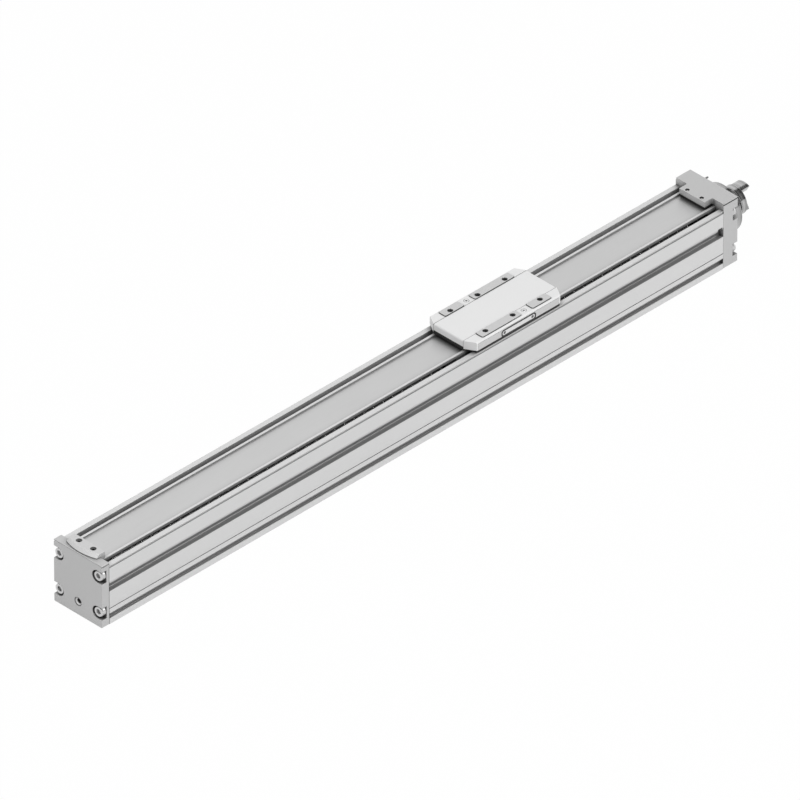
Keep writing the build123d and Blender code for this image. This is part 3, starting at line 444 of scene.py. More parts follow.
# Turned steel: rings in strong contrast, partly the turned tone and partly painted reflections,
# with a strong painted highlight on edges.
TURNED = Finish("turned_steel_rings_and_reflections", grey(168), 0.95, 0.18, Grain.TURNED, 520, 0.5,
                relief=4.0e-6, edge_highlight_share=0.95, edge_highlight_reach=0.0009, edge_highlight_gain=3.2,
                corner_shade=0.12)
WHITE_PLASTIC = Finish("white_moulded_plastic", grey(236), 0.0, 0.42, Grain.CAST, 2200, 0.01,
                       relief=4.0e-6, edge_highlight_share=0.3, corner_reach=0.003)
LIGHT_PLATE = Finish("light_side_plate", grey(232), 0.0, 0.4, Grain.CAST, 2200, 0.01)
# The wipers' dark plastic; the bars, seals and frames that stand in for shade in grooves and round
# the pads and the side plate wear it too.
DARK_PLASTIC_AND_SHADOW = Finish("dark_wiper_plastic_and_shadow", grey(40), 0.0, 0.5, Grain.CAST, 1800, 0.1)
BUFFER_RUBBER = Finish("moulded_buffer_rubber", grey(34), 0.0, 0.7, Grain.CAST, 1200, 0.15)
# The skirt's black rubber, which also stands in for the shadow in the gap under the slide's rim.
SKIRT_AND_GAP_SHADOW = Finish("black_skirt_and_gap_shadow", grey(15), 0.0, 0.75, Grain.CAST, 1200, 0.1)
MAGNET = Finish("bonded_magnet", grey(52), 0.1, 0.6, Grain.LENGTHWISE, 1500, 0.1)

SLOT_FINISHES = {
    "anodised_aluminium": ANODISED,
    "cap_aluminium": CAP_ALUMINIUM,
    "machined_aluminium": MACHINED,
    "strip_steel": STRIP_STEEL,
    "screw_steel": PLATED,
    "bearing_steel": GROUND,
    "turned_steel": TURNED,
    "white_plastic": WHITE_PLASTIC,
    "light_plate": LIGHT_PLATE,
    "wiper_plastic": DARK_PLASTIC_AND_SHADOW,
    "buffer_rubber": BUFFER_RUBBER,
    "magnet_strip": MAGNET,
}
NODE_SLOTS = {entry["node"]: entry["material_slot"] for entry in frame["record"]["subparts"]}


def dress_frame() -> None:
    """Gives every CAD node its finish."""
    for node, slot in NODE_SLOTS.items():
        mesh = frame["nodes"][node].data
        mesh.materials.clear()
        mesh.materials.append(SLOT_FINISHES[slot].material())


def settle(
    name: str, bm: BMesh, body: str, slot: str, *nodes: str,
    finish: Finish | None = None,
) -> bpy.types.Object:
    """Makes a finished bmesh an object that rides on its body.

    Args:
        name: The piece's name.
        bm: Its shape, in metres, in its place; it is freed.
        body: The body that it moves with.
        slot: The record's material slot.
        *nodes: The CAD nodes that it stands for.
        finish: Its finish where it isn't the slot's own.

    Returns:
        The piece.
    """
    mesh = bpy.data.meshes.new(name)
    for face in bm.faces:
        face.smooth = True
    bm.to_mesh(mesh)
    bm.free()
    mesh.set_sharp_from_angle(angle=math.radians(SMOOTH_BELOW_DEG))
    mesh.materials.append((finish or SLOT_FINISHES[slot]).material())
    piece = bpy.data.objects.new(name, mesh)
    bpy.context.scene.collection.objects.link(piece)
    if nodes:
        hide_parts(*nodes)
    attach(piece, body)
    log.info("%s: %d faces, rides on %s", name, len(mesh.polygons), body)
    return piece


def standing(at_mm: Triple, facing: Vector) -> Matrix:
    """The matrix that sets a shape's origin at a place and its Z axis along a direction."""
    lean = facing.to_track_quat("Z", "Y").to_matrix().to_4x4()
    return Matrix.Translation(Vector(at_mm) * MM) @ lean


def polygon(bm: BMesh, corners: list[Vector]) -> tuple[BMFace, list[BMVert]]:
    """Adds one flat face, whose corners are given in order and in millimetres."""
    verts = [bmesh.ops.create_vert(bm, co=corner * MM)["vert"][0] for corner in corners]
    return bmesh.ops.contextual_create(bm, geom=verts)["faces"][0], verts


def thicken(bm: BMesh, faces: list[BMFace], along: Vector, closed: bool) -> None:
    """Extrudes flat faces into a solid.

    Args:
        bm: The bmesh that holds them.
        faces: The faces.
        along: From them to the solid's other side, in millimetres.
        closed: Whether the faces stay as the solid's first side.
    """
    grown = bmesh.ops.extrude_face_region(bm, geom=faces, use_keep_orig=closed)["geom"]
    fresh = [part for part in grown if isinstance(part, BMVert)]
    bmesh.ops.translate(bm, vec=along * MM, verts=fresh)
    bmesh.ops.recalc_face_normals(bm, faces=bm.faces)


def spun(
    bm: BMesh, profile: tuple[tuple[float, float], ...], at_mm: Triple, facing: Vector
) -> None:
    """Turns a closed profile into a ring and sets it in its place.

    Args:
        bm: The bmesh that takes the ring.
        profile: Its corners as distance from the axis and height, in millimetres.
        at_mm: The ring's middle, in millimetres.
        facing: The direction of its axis.
    """
    known = set(bm.verts)
    face, verts = polygon(bm, [Vector((across, 0, along)) for across, along in profile])
    edges = list(face.edges)
    bmesh.ops.delete(bm, geom=[face], context="FACES_ONLY")
    bmesh.ops.spin(
        bm, geom=[*edges, *verts], cent=(0, 0, 0), axis=(0, 0, 1), angle=math.tau, steps=48,
        use_merge=True,
    )
    made = [vert for vert in bm.verts if vert not in known]
    bmesh.ops.transform(bm, matrix=standing(at_mm, facing), verts=made)
    bmesh.ops.recalc_face_normals(bm, faces=bm.faces)


def framed(bm: BMesh, corners: list[Vector], width: float, depth: Vector) -> None:
    """Makes a flat frame from its outer corners.

    Args:
        bm: The bmesh that takes the frame.
        corners: Its outer corners in order, in millimetres.
        width: The frame's width, in millimetres.
        depth: From its front to its back, in millimetres.
    """
    face = polygon(bm, corners)[0]
    rim = bmesh.ops.inset_region(
        bm, faces=[face], thickness=width * MM, use_even_offset=True, use_boundary=True
    )["faces"]
    bmesh.ops.delete(bm, geom=[face], context="FACES_ONLY")
    thicken(bm, rim, depth, closed=False)


def cut_rectangle(
    low: tuple[float, float], high: tuple[float, float], cut: tuple[float, float]
) -> list[tuple[float, float]]:
    """A rectangle with slanted corners, as eight points in order round it.

    Args:
        low: Its lowest corner.
        high: Its highest corner.
        cut: What each corner loses along the first and the second direction.

    Returns:
        The points.
    """
    (u0, v0), (u1, v1), (cut_u, cut_v) = low, high, cut
    return [
        (u0 + cut_u, v0), (u1 - cut_u, v0), (u1, v0 + cut_v), (u1, v1 - cut_v),
        (u1 - cut_u, v1), (u0 + cut_u, v1), (u0, v1 - cut_v), (u0, v0 + cut_v),
    ]


def groove_shadow_bar(bm: BMesh, start: Vector, along: Vector, inward: Vector) -> None:
    """Lays a thin three-cornered dark bar in a fine groove, just under its mouth, as painted
    shadow.

    Args:
        bm: The bmesh that takes the bar.
        start: The middle of the groove's mouth at one end, in millimetres.
        along: From there to its other end.
        inward: The direction into the groove.
    """
    half_width, sunk, depth = 0.32, 0.04, 0.3
    aside = along.cross(inward).normalized() * half_width
    mouth = start + inward * sunk
    face = polygon(bm, [mouth - aside, mouth + aside, start + inward * depth])[0]
    thicken(bm, [face], along, closed=True)


@dataclass
class EasedNode:
    """A copy of a CAD node whose sharp edges are eased."""

    node: str
    width_mm: float = 0.2
    segments: int = 2
    finish: Finish | None = None

    def build(self) -> bpy.types.Object:
        """Merges the node's loose triangles, eases its edges and stands for it.

        Returns:
            The piece.
        """
        source = frame["nodes"][self.node]
        bm = bmesh.new()
        bm.from_mesh(source.data)
        bmesh.ops.remove_doubles(bm, verts=bm.verts, dist=SAME_POINT_M)
        bmesh.ops.dissolve_limit(
            bm, angle_limit=math.radians(FLAT_WITHIN_DEG), verts=bm.verts, edges=bm.edges
        )
        slot = NODE_SLOTS[self.node]
        body = body_of(source)[0]
        piece = settle(f"{self.node}_eased", bm, body, slot, self.node, finish=self.finish)
        ease = piece.modifiers.new("eased_edges", "BEVEL")
        ease.width = self.width_mm * MM
        ease.segments = self.segments
        ease.limit_method = "ANGLE"
        ease.angle_limit = math.radians(SMOOTH_BELOW_DEG)
        ease.use_clamp_overlap = False
        ease.harden_normals = True
        return piece


class RingStack:
    """Builds a turned shape in a bmesh, ring by ring along its axis."""

    def __init__(self, bm: BMesh, points: int = 36) -> None:
        """Starts a shape.

        Args:
            bm: The bmesh that takes it.
            points: Points on each ring.
        """
        self.bm = bm
        self.points = points
        self.verts: list[BMVert] = []
        self.edges: list[BMEdge] = []

    def reach(self, angle: float, radius: float, outline: Outline) -> float:
        """The distance of a ring's point from the axis.

        Args:
            angle: The point's angle.
            radius: The ring's radius, or half a hexagon's width across its flats.
            outline: The ring's shape.

        Returns:
            The distance.
        """
        if outline is Outline.HEXAGON:
            sixth = math.pi / 3
            return radius / math.cos((angle + sixth / 2) % sixth - sixth / 2)
        if outline is Outline.KNURLED and round(angle / math.tau * self.points) % 2:
            return radius * 0.96
        return radius

    def ring(self, height: float, radius: float, outline: Outline = Outline.ROUND) -> None:
        """Adds a ring and joins it to the one before.

        Args:
            height: Its place on the axis, in millimetres.
            radius: Its radius, in millimetres.
            outline: Its shape.
        """
        if self.edges:
            grown = bmesh.ops.extrude_edge_only(self.bm, edges=self.edges)["geom"]
            fresh = [part for part in grown if isinstance(part, BMVert)]
        else:
            fresh = bmesh.ops.create_circle(self.bm, segments=self.points, radius=1.0)["verts"]
        known = set(fresh)
        around = dict.fromkeys(edge for vert in fresh for edge in vert.link_edges)
        loop = [edge for edge in around if known.issuperset(edge.verts)]
        if not self.edges:
            bmesh.ops.edgeloop_fill(self.bm, edges=loop)
        self.edges = loop
        self.verts += fresh
        for vert in fresh:
            angle = math.atan2(vert.co.y, vert.co.x)
            length = self.reach(angle, radius, outline) * MM
            vert.co = (length * math.cos(angle), length * math.sin(angle), height * MM)

    def rings(self, *stack: tuple) -> None:
        """Adds rings, each given as ring takes it, closes them and turns all faces outwards."""
        for entry in stack:
            self.ring(*entry)
        bmesh.ops.edgeloop_fill(self.bm, edges=self.edges)
        bmesh.ops.recalc_face_normals(self.bm, faces=self.bm.faces)

    def place(self, at_mm: Triple, facing: Vector, turn: float = 0.0) -> None:
        """Sets the shape's origin at a place and its axis along a direction.

        Args:
            at_mm: The place, in millimetres.
            facing: The direction of the shape's upper end.
            turn: A turn about its own axis, in degrees.
        """
        matrix = standing(at_mm, facing) @ Matrix.Rotation(math.radians(turn), 4, "Z")
        bmesh.ops.transform(self.bm, matrix=matrix, verts=self.verts)


@dataclass(frozen=True)
class SocketScrew:
    """A socket head screw; its origin lies under its head."""

    head_radius: float
    head_height: float
    flats: float
    shank_radius: float
    shank_length: float
    knurled: bool = True

    def add(self, bm: BMesh, at_mm: Triple, facing: Vector, turn: float = 0.0) -> None:
        """Adds the screw to a bmesh.

        Args:
            bm: The bmesh that takes it.
            at_mm: The middle of the head's underside, in millimetres.
            facing: Where its head points.
            turn: The turn of its socket, in degrees.
        """
        rim = Outline.KNURLED if self.knurled else Outline.ROUND
        top, wide, shank = self.head_height, self.head_radius, self.shank_radius
        half, cut = self.flats / 2, 0.1 * self.head_radius
        depth = 0.55 * top
        stack = RingStack(bm, 72 if self.knurled else 48)
        stack.rings(
            (-self.shank_length, shank - cut), (cut - self.shank_length, shank), (0, shank),
            (0, wide - cut / 2), (cut, wide), (1.5 * cut, wide, rim), (top - 1.6 * cut, wide, rim),
            (top - 1.2 * cut, wide), (top - 0.4 * cut, wide - 0.4 * cut), (top, wide - cut),
            (top, 1.22 * half), (top - 0.14 * half, half, Outline.HEXAGON),
            (top - depth, half, Outline.HEXAGON), (top - depth, 0.8 * half),
            (top - 1.25 * depth, 0.05),
        )
        stack.place(at_mm, facing, turn)


@dataclass(frozen=True)
class ThreadLiner:
    """The ridges of an inner thread, in a hole that the CAD leaves plain."""

    radius: float
    depth: float
    pitch: float = 0.8
    ridge: float = 0.35
    steps: int = 20

    def add(self, bm: BMesh, at_mm: Triple, inward: Vector) -> None:
        """Adds the ridges to a bmesh.

        Args:
            bm: The bmesh that takes them.
            at_mm: The middle of the thread's outer end, in millimetres.
            inward: The direction into the hole.
        """
        turns = int(self.depth / self.pitch) - 1
        corners = ((self.radius, 0.0), (self.radius - self.ridge, 0.4), (self.radius, 0.8))
        places = [Vector((across, 0, along * self.pitch)) for across, along in corners]
        face, verts = polygon(bm, places)
        known = set(bm.verts) - set(verts)
        bmesh.ops.spin(
            bm, geom=[face, *face.edges, *verts], cent=(0, 0, 0), axis=(0, 0, 1),
            dvec=(0, 0, self.pitch * MM / self.steps), angle=math.tau * turns,
            steps=self.steps * turns, use_merge=False,
        )
        made = [vert for vert in bm.verts if vert not in known]
        bmesh.ops.transform(bm, matrix=standing(at_mm, inward), verts=made)
        bmesh.ops.recalc_face_normals(bm, faces=bm.faces)


@dataclass
class Body:
    """The extruded body with its fixed cover between the slots."""

    edge_mm: float = 0.25
    scribe_z: float = 16.8
    joint_foot: float = 0.5
    joint_height: float = 59.3

    def build(self) -> None:
        """Eases the extrusion's and the carrier's edges and lays dark bars in the fine grooves as
        painted shadow.
        """
        EasedNode("profile_extrusion", self.edge_mm).build()
        EasedNode("cover_carrier", self.edge_mm).build()
        bm = bmesh.new()
        # Painted shadow: dark bars along the scribe groove and up the joint at the extrusion's
        # idle end.
        for inward in (FAR, NEAR):
            x, y = PROFILE_LOW.x, -PROFILE_HIGH.y * inward.y
            length = RIGHT * (PROFILE_HIGH.x - x)
            groove_shadow_bar(bm, Vector((x, y, self.scribe_z)), length, inward)
            groove_shadow_bar(bm, Vector((x, y, self.joint_foot)), UP * self.joint_height, inward)
        settle("fine_groove_shadows", bm, BASE, "wiper_plastic")


@dataclass
class CapScrews:
    """The four screws that hold an end on the body."""

    node: str
    seat_x: float
    facing: Vector
    y: float = 24.4
    heights: tuple[float, float] = (14.7, 53.2)
    first_turn: float = 11.0
    next_turn: float = 17.0
    screw: SocketScrew = SocketScrew(
        head_radius=5.0, head_height=5.0, flats=5.0, shank_radius=2.95, shank_length=18.0)

    def build(self) -> None:
        """Makes the four screws, each with its socket turned a little differently."""
        bm = bmesh.new()
        for index, (side, height) in enumerate((s, z) for s in (-1, 1) for z in self.heights):
            at = (self.seat_x, side * self.y, height)
            self.screw.add(bm, at, self.facing, self.first_turn + self.next_turn * index)
        settle(f"{self.node}_socket_heads", bm, BASE, "screw_steel", self.node)


@dataclass
class IdleEnd:
    """The idle cap with its strip clamp, screws and threaded port."""

    face_x: float = IDLE_FACE_X
    clamp_screw_x: float = -406.75
    clamp_screw_y: float = 8.9
    clamp_seat_z: float = 66.8
    port_height: float = 14.0
    port_chamfer: float = 2.0
    # Thin rings laid on the port's chamfer, as distance from the axis and depth: a bright one as
    # painted highlight and a dark one as painted shadow.
    highlight_rim_profile: tuple = ((3.7, -0.66), (2.62, -1.74), (2.52, -1.66), (3.6, -0.58))
    shadow_profile: tuple = ((4.36, -0.02), (3.76, -0.62), (3.68, -0.54), (4.26, -0.01))

    def build(self) -> None:
        """Builds the idle end."""
        EasedNode("idle_end_cap", 0.4).build()
        EasedNode("strip_clamp_idle", 0.2, finish=CLAMP_ALUMINIUM).build()
        CapScrews("idle_cap_screws", self.face_x + POCKET_DEPTH, LEFT).build()
        self.clamp_screws()
        self.port_thread()

    def clamp_screws(self) -> None:
        """The two small screws that press the clamp on the strip."""
        bm = bmesh.new()
        screw = SocketScrew(
            head_radius=2.7, head_height=2.4, flats=2.5, shank_radius=1.45, shank_length=9.7,
            knurled=False)
        for side in (-1, 1):
            at = (self.clamp_screw_x, side * self.clamp_screw_y, self.clamp_seat_z)
            screw.add(bm, at, UP, turn=20.0 * side)
        # The heads take a darker finish: painted shade, since they sit in recesses.
        name, node = "strip_clamp_screw_heads", "strip_clamp_screws"
        settle(name, bm, BASE, "screw_steel", node, finish=SHADED_SUNK_HEAD)

    def port_thread(self) -> None:
        """The thread in the port low on the cap's face, with a painted highlight ring and a
        painted shadow ring on the port's chamfer.
        """
        bm = bmesh.new()
        start = (self.face_x + self.port_chamfer, 0, self.port_height)
        ThreadLiner(radius=2.48, depth=4.4).add(bm, start, RIGHT)
        settle("port_thread", bm, BASE, "cap_aluminium", finish=SHADED_THREAD)
        # Painted highlight: a thin bright ring laid on the port's chamfer.
        bm = bmesh.new()
        at = (self.face_x, 0, self.port_height)
        spun(bm, self.highlight_rim_profile, at, LEFT)
        settle("port_highlight_rim", bm, BASE, "screw_steel", finish=NIPPLE_STEEL_AND_HIGHLIGHT)
        # Painted shadow: a thin dark ring on the chamfer's outer part.
        bm = bmesh.new()
        spun(bm, self.shadow_profile, at, LEFT)
        settle("port_shadow_ring", bm, BASE, "screw_steel", finish=SHADED_SUNK_HEAD)


@dataclass
class DriveEnd:
    """The drive block with its collar, pin, screws and the strip's clamping bar."""

    face_x: float = DRIVE_FACE_X
    grub_x: float = 353.75
    grub_y: float = 8.9
    nose_bottom: float = 64.6
    collar_circle: float = 15.0
    pin_y: float = 11.6
    pin_z: float = 68.7

    def build(self) -> None:
        """Builds the drive end."""
        EasedNode("drive_bearing_block", 0.12, 1).build()
        EasedNode("centring_collar", 0.3).build()
        CapScrews("drive_block_screws", self.face_x - POCKET_DEPTH, RIGHT).build()
        self.collar_screws()
        self.grub_screws()
        self.pin()

    def collar_screws(self) -> None:
        """Four small screws that hold the collar."""
        bm = bmesh.new()
        screw = SocketScrew(
            head_radius=2.25, head_height=1.8, flats=1.5, shank_radius=1.2, shank_length=8.8,
            knurled=False)
        for quarter in range(4):
            angle = math.radians(45 + 90 * quarter)
            y = self.collar_circle * math.cos(angle)
            z = AXIS_HEIGHT_MM + self.collar_circle * math.sin(angle)
            screw.add(bm, (self.face_x, y, z), RIGHT, turn=12.0 * quarter)
        settle("collar_screw_heads", bm, BASE, "screw_steel", "collar_screws")

    def grub_screws(self) -> None:
        """The two grub screws that press the bar on the strip's end."""
        bm = bmesh.new()
        for side in (-1, 1):
            stack = RingStack(bm)
            stack.rings(
                (0, 1.5), (0.4, 1.98), (3.8, 1.98), (4.2, 1.7), (4.2, 1.25),
                (4.05, 1.0, Outline.HEXAGON), (2.4, 1.0, Outline.HEXAGON), (2.0, 0.05),
            )
            stack.place((self.grub_x, side * self.grub_y, self.nose_bottom), UP, 25.0 * side)
        settle("strip_grub_screw_sockets", bm, BASE, "screw_steel", "strip_grub_screws")

    def pin(self) -> None:
        """The locating pin for the motor's flange."""
        bm = bmesh.new()
        stack = RingStack(bm, 24)
        stack.rings((-5.0, 0.7), (-4.7, 1.0), (4.0, 1.0), (4.3, 0.85), (4.4, 0.6))
        stack.place((self.face_x, self.pin_y, self.pin_z), RIGHT)
        settle("locating_pin_rounded", bm, BASE, NODE_SLOTS["locating_pin"], "locating_pin")


@dataclass
class Coupling:
    """The clamping hub on the screw's end."""

    screw_x: float = 391.85
    screw_y: float = -8.6
    half_length: float = 6.5
    head_height: float = 3.0

    def build(self) -> None:
        """Eases the hub and gives its clamping screw a socket."""
        EasedNode("coupling_hub", 0.3).build()
        bm = bmesh.new()
        head, shank = self.head_height, 2 * self.half_length - self.head_height
        screw = SocketScrew(
            head_radius=2.75, head_height=head, flats=2.5, shank_radius=1.45,
            shank_length=shank, knurled=False)
        seat = AXIS_HEIGHT_MM + self.half_length - head
        screw.add(bm, (self.screw_x, self.screw_y, seat), UP)
        node = "coupling_clamp_screw"
        settle(f"{node}_socket", bm, SCREW, "screw_steel", node)


@dataclass
class Spindle:
    """The ball screw: a rolled groove in a long shaft, with a journal at each end."""

    radius: float = 6.0
    lead: float = 12.0
    groove_depth: float = 0.95
    groove_half_angle: float = 42.0
    steps: int = 16
    points: int = 30
    plain: float = 1.0
    idle_journal: float = 3.97
    drive_journal: float = 4.97

    def build(self) -> None:
        """Sweeps the grooved section along the shaft and adds the journals."""
        start = box_mm("buffer_idle")[0].x
        end = box_mm("drive_bearing_inner_ring")[0].x
        bm = bmesh.new()
        self.thread(bm, start + self.plain, end - self.plain)
        self.journal(bm, SCREW_LOW.x, start, start + self.plain, self.idle_journal, 1)
        self.journal(bm, SCREW_HIGH.x, end, end - self.plain, self.drive_journal, -1)
        settle("ball_screw_grooved", bm, SCREW, NODE_SLOTS["ball_screw"], "ball_screw")

    def thread(self, bm: BMesh, start: float, end: float) -> None:
        """Sweeps a disc with one dent along the axis while it turns.

        Args:
            bm: The bmesh that takes the thread.
            start: Its idle end, in millimetres.
            end: Its drive end, in millimetres.
        """
        made = bmesh.ops.create_circle(bm, segments=self.points, radius=1.0, cap_ends=True)
        verts = made["verts"]
        half = math.radians(self.groove_half_angle)
        for vert in verts:
            angle = math.atan2(vert.co.y, vert.co.x)
            share = min(1.0, abs(angle) / half)
            reach = (self.radius - self.groove_depth * math.sqrt(1 - share * share)) * MM
            vert.co = (0, reach * math.cos(angle), reach * math.sin(angle))
        centre = (start * MM, 0, AXIS_HEIGHT_MM * MM)
        bmesh.ops.translate(bm, vec=centre, verts=verts)
        face = verts[0].link_faces[0]
        turns = (end - start) / self.lead
        count = round(turns * self.steps)
        bmesh.ops.spin(
            bm, geom=[face, *face.edges, *verts], cent=centre, axis=(1, 0, 0),
            dvec=((end - start) * MM / count, 0, 0), angle=math.tau * turns, steps=count,
            use_merge=False,
        )
        bmesh.ops.recalc_face_normals(bm, faces=bm.faces)

    def journal(
        self, bm: BMesh, tip: float, shoulder: float, root: float, radius: float,
        sign: int,
    ) -> None:
        """A ground journal that grows out of the shaft.

        Args:
            bm: The bmesh that takes it.
            tip: Its free end, in millimetres.
            shoulder: Where the full shaft begins.
            root: Where the groove begins.
            radius: Its radius.
            sign: 1 where the shaft goes on towards the drive end.
        """
        length, step = abs(shoulder - tip), abs(root - shoulder)
        stack = RingStack(bm, self.points)
        stack.rings(
            (0, radius - 0.4), (0.4, radius), (length, radius), (length, self.radius - 0.5),
            (length + 0.5, self.radius), (length + step, self.radius),
        )
        stack.place((tip, 0, AXIS_HEIGHT_MM), RIGHT * sign)


@dataclass
class SlideUnit:
    """The moving table with its white covers, side plate, nipples and threads."""

    x: float = (TABLE_LOW.x + TABLE_HIGH.x) / 2
    hole_x: float = 34.3
    hole_y: float = 22.0
    thread_sunk: float = 0.6
    table_top: float = 72.1
    nipple_x: float = 12.8
    nipple_y: float = 23.2
    plate_screw_x: float = 17.5
    plate_screw_z: float = 67.9
    plate_screw_y: float = -29.0
    seal_width: float = 0.9
    seal_lap: float = 0.5
    seal_corner: float = 1.1
    seal_rise: float = 0.08
    seal_depth: float = 0.4
    pad_spans: tuple = (
        ((-43.1, -6.2), -1), ((19.9, 43.5), -1), ((6.2, 43.1), 1), ((-43.5, -19.9), 1))
    pad_inner_y: float = 18.7
    pad_outer_y: float = 27.3
    pad_corner: float = 1.0
    pad_seal_width: float = 0.6
    pad_seal_gap: float = 0.03
    pad_seal_rise: float = 0.05
    pad_seal_depth: float = 0.3
    skirt_inset: float = 0.35
    skirt_width: float = 1.0
    skirt_drop: float = 1.35
    corner_cut_x: float = 6.5
    corner_cut_y: float = 11.1

    def build(self) -> None:
        """Builds the slide."""
        EasedNode("slide_table", 0.15).build()
        EasedNode("slide_cover", 0.7, 4).build()
        for node in ("side_cover_near", "side_cover_far"):
            EasedNode(node, 0.35, 3).build()
        EasedNode("side_plate", 0.2).build()
        self.threads()
        self.nipples()
        self.plate_screws()
        self.plate_shade_seal()
        self.pad_shade_seals()
        self.shade_skirts()

    def threads(self) -> None:
        """Threads in the four outer holes of the pads."""
        bm = bmesh.new()
        liner = ThreadLiner(radius=2.48, depth=7.2)
        for along in (-1, 1):
            for across in (-1, 1):
                z = TABLE_HIGH.z - self.thread_sunk
                liner.add(bm, (self.x + along * self.hole_x, across * self.hole_y, z), -UP)
        settle("table_hole_threads", bm, SLIDE, "machined_aluminium", finish=SHADED_THREAD)

    def nipples(self) -> None:
        """The two flush grease nipples."""
        bm = bmesh.new()
        for side in (-1, 1):
            stack = RingStack(bm)
            stack.rings(
                (-5.0, 1.5), (-4.6, 1.88), (0, 1.88), (0, 2.5), (1.8, 2.5), (2.0, 2.3),
                (2.0, 1.5), (1.8, 1.3), (1.8, 0.9), (1.5, 0.75), (-0.4, 0.75),
            )
            stack.place((self.x - side * self.nipple_x, side * self.nipple_y, self.table_top), UP)
        node = "grease_nipples"
        settle("grease_nipple_cups", bm, SLIDE, NODE_SLOTS[node], node, finish=NIPPLE_STEEL_AND_HIGHLIGHT)

    def plate_screws(self) -> None:
        """The side plate's two tiny screws."""
        bm = bmesh.new()
        screw = SocketScrew(
            head_radius=1.28, head_height=0.5, flats=0.9, shank_radius=0.78, shank_length=2.6,
            knurled=False)
        for along in (-1, 1):
            at = (self.x + along * self.plate_screw_x, self.plate_screw_y, self.plate_screw_z)
            screw.add(bm, at, NEAR)
        # The heads take a darker finish: painted shade, since they sit in a recess.
        name, node = "side_plate_screw_heads", "side_plate_screws"
        settle(name, bm, SLIDE, "screw_steel", node, finish=SHADED_SUNK_HEAD)

    def plate_shade_seal(self) -> None:
        """The dark seal round the side plate, which also stands in for the shade along the plate's
        edge.
        """
        low, high = box_mm("side_plate")
        grow, cut = self.seal_width, self.seal_width + self.seal_corner
        y = TABLE_LOW.y - self.seal_rise
        points = cut_rectangle(
            (low.x - grow, low.z - grow), (high.x + grow, high.z + grow), (cut, cut))
        corners = [Vector((x, y, z)) for x, z in points]
        bm = bmesh.new()
        framed(bm, corners, self.seal_width + self.seal_lap, FAR * self.seal_depth)
        settle("side_plate_shade_seal", bm, SLIDE, "wiper_plastic")

    def pad_shade_seals(self) -> None:
        """The dark seals round the four raised pads, which also stand in for the shade along the
        pads' edges.
        """
        bm = bmesh.new()
        grow = self.pad_seal_width
        cut = self.pad_corner + grow / 2
        z = COVER_HIGH.z + self.pad_seal_rise
        for (start, end), side in self.pad_spans:
            near, far = sorted(
                (side * (self.pad_inner_y - grow), side * (self.pad_outer_y + grow)))
            points = cut_rectangle(
                (self.x + start - grow, near), (self.x + end + grow, far), (cut, cut))
            corners = [Vector((x, y, z)) for x, y in points]
            framed(bm, corners, grow - self.pad_seal_gap, -UP * self.pad_seal_depth)
        settle("pad_shade_seals", bm, SLIDE, "wiper_plastic")

    def shade_skirts(self) -> None:
        """The dark skirt under the slide's rim, and the lips that close it under both ends; they
        also stand in for the shadow in the gaps there.
        """
        low, high = box_mm("side_cover_near")
        bottom, inset = low.z, self.skirt_inset
        start, end, edge = low.x + inset, high.x - inset, low.y + inset
        cut = (self.corner_cut_x, self.corner_cut_y)
        points = cut_rectangle((start, edge), (end, -edge), cut)
        corners = [Vector((x, y, bottom)) for x, y in points]
        bm = bmesh.new()
        framed(bm, corners, self.skirt_width, -UP * self.skirt_drop)
        lip_height, lip_reach = COVER_LOW.z - bottom, COVER_HIGH.y - inset
        for outer, inward in ((start, 1), (end, -1)):
            middle = Vector((outer + inward * self.skirt_width / 2, 0, bottom + lip_height / 2))
            size = (self.skirt_width, 2 * lip_reach, lip_height)
            matrix = Matrix.LocRotScale(middle * MM, None, Vector(size) * MM)
            bmesh.ops.create_cube(bm, size=1.0, matrix=matrix)
        settle("slide_shade_skirts", bm, SLIDE, "wiper_plastic", finish=SKIRT_AND_GAP_SHADOW)


def seen_directly(tree: bpy.types.NodeTree) -> Socket:
    """1 for a ray from the camera, off a shiny face or through glass, 0 for the rest.

    Args:
        tree: The tree that takes the nodes.

    Returns:
        The value.
    """
    path = tree.nodes.new("ShaderNodeLightPath")
    share = path.outputs["Is Camera Ray"]
    for name in ("Is Glossy Ray", "Is Transmission Ray"):
        most = tree.nodes.new("ShaderNodeMath")
        most.operation = "MAXIMUM"
        tree.links.new(share, most.inputs[0])
        tree.links.new(path.outputs[name], most.inputs[1])
        share = most.outputs["Value"]
    return share


def sheet(name: str, side: float, height: float = 0.0) -> bpy.types.Object:
    """A level square in the scene, round the origin.

    Args:
        name: Its name.
        side: The length of its sides, in metres.
        height: Its height, in metres.

    Returns:
        The object.
    """
    mesh = bpy.data.meshes.new(name)
    bm = bmesh.new()
    bmesh.ops.create_grid(bm, x_segments=1, y_segments=1, size=side / 2)
    bmesh.ops.translate(bm, vec=(0, 0, height), verts=bm.verts)
    bm.to_mesh(mesh)
    bm.free()
    made = bpy.data.objects.new(name, mesh)
    bpy.context.scene.collection.objects.link(made)
    return made


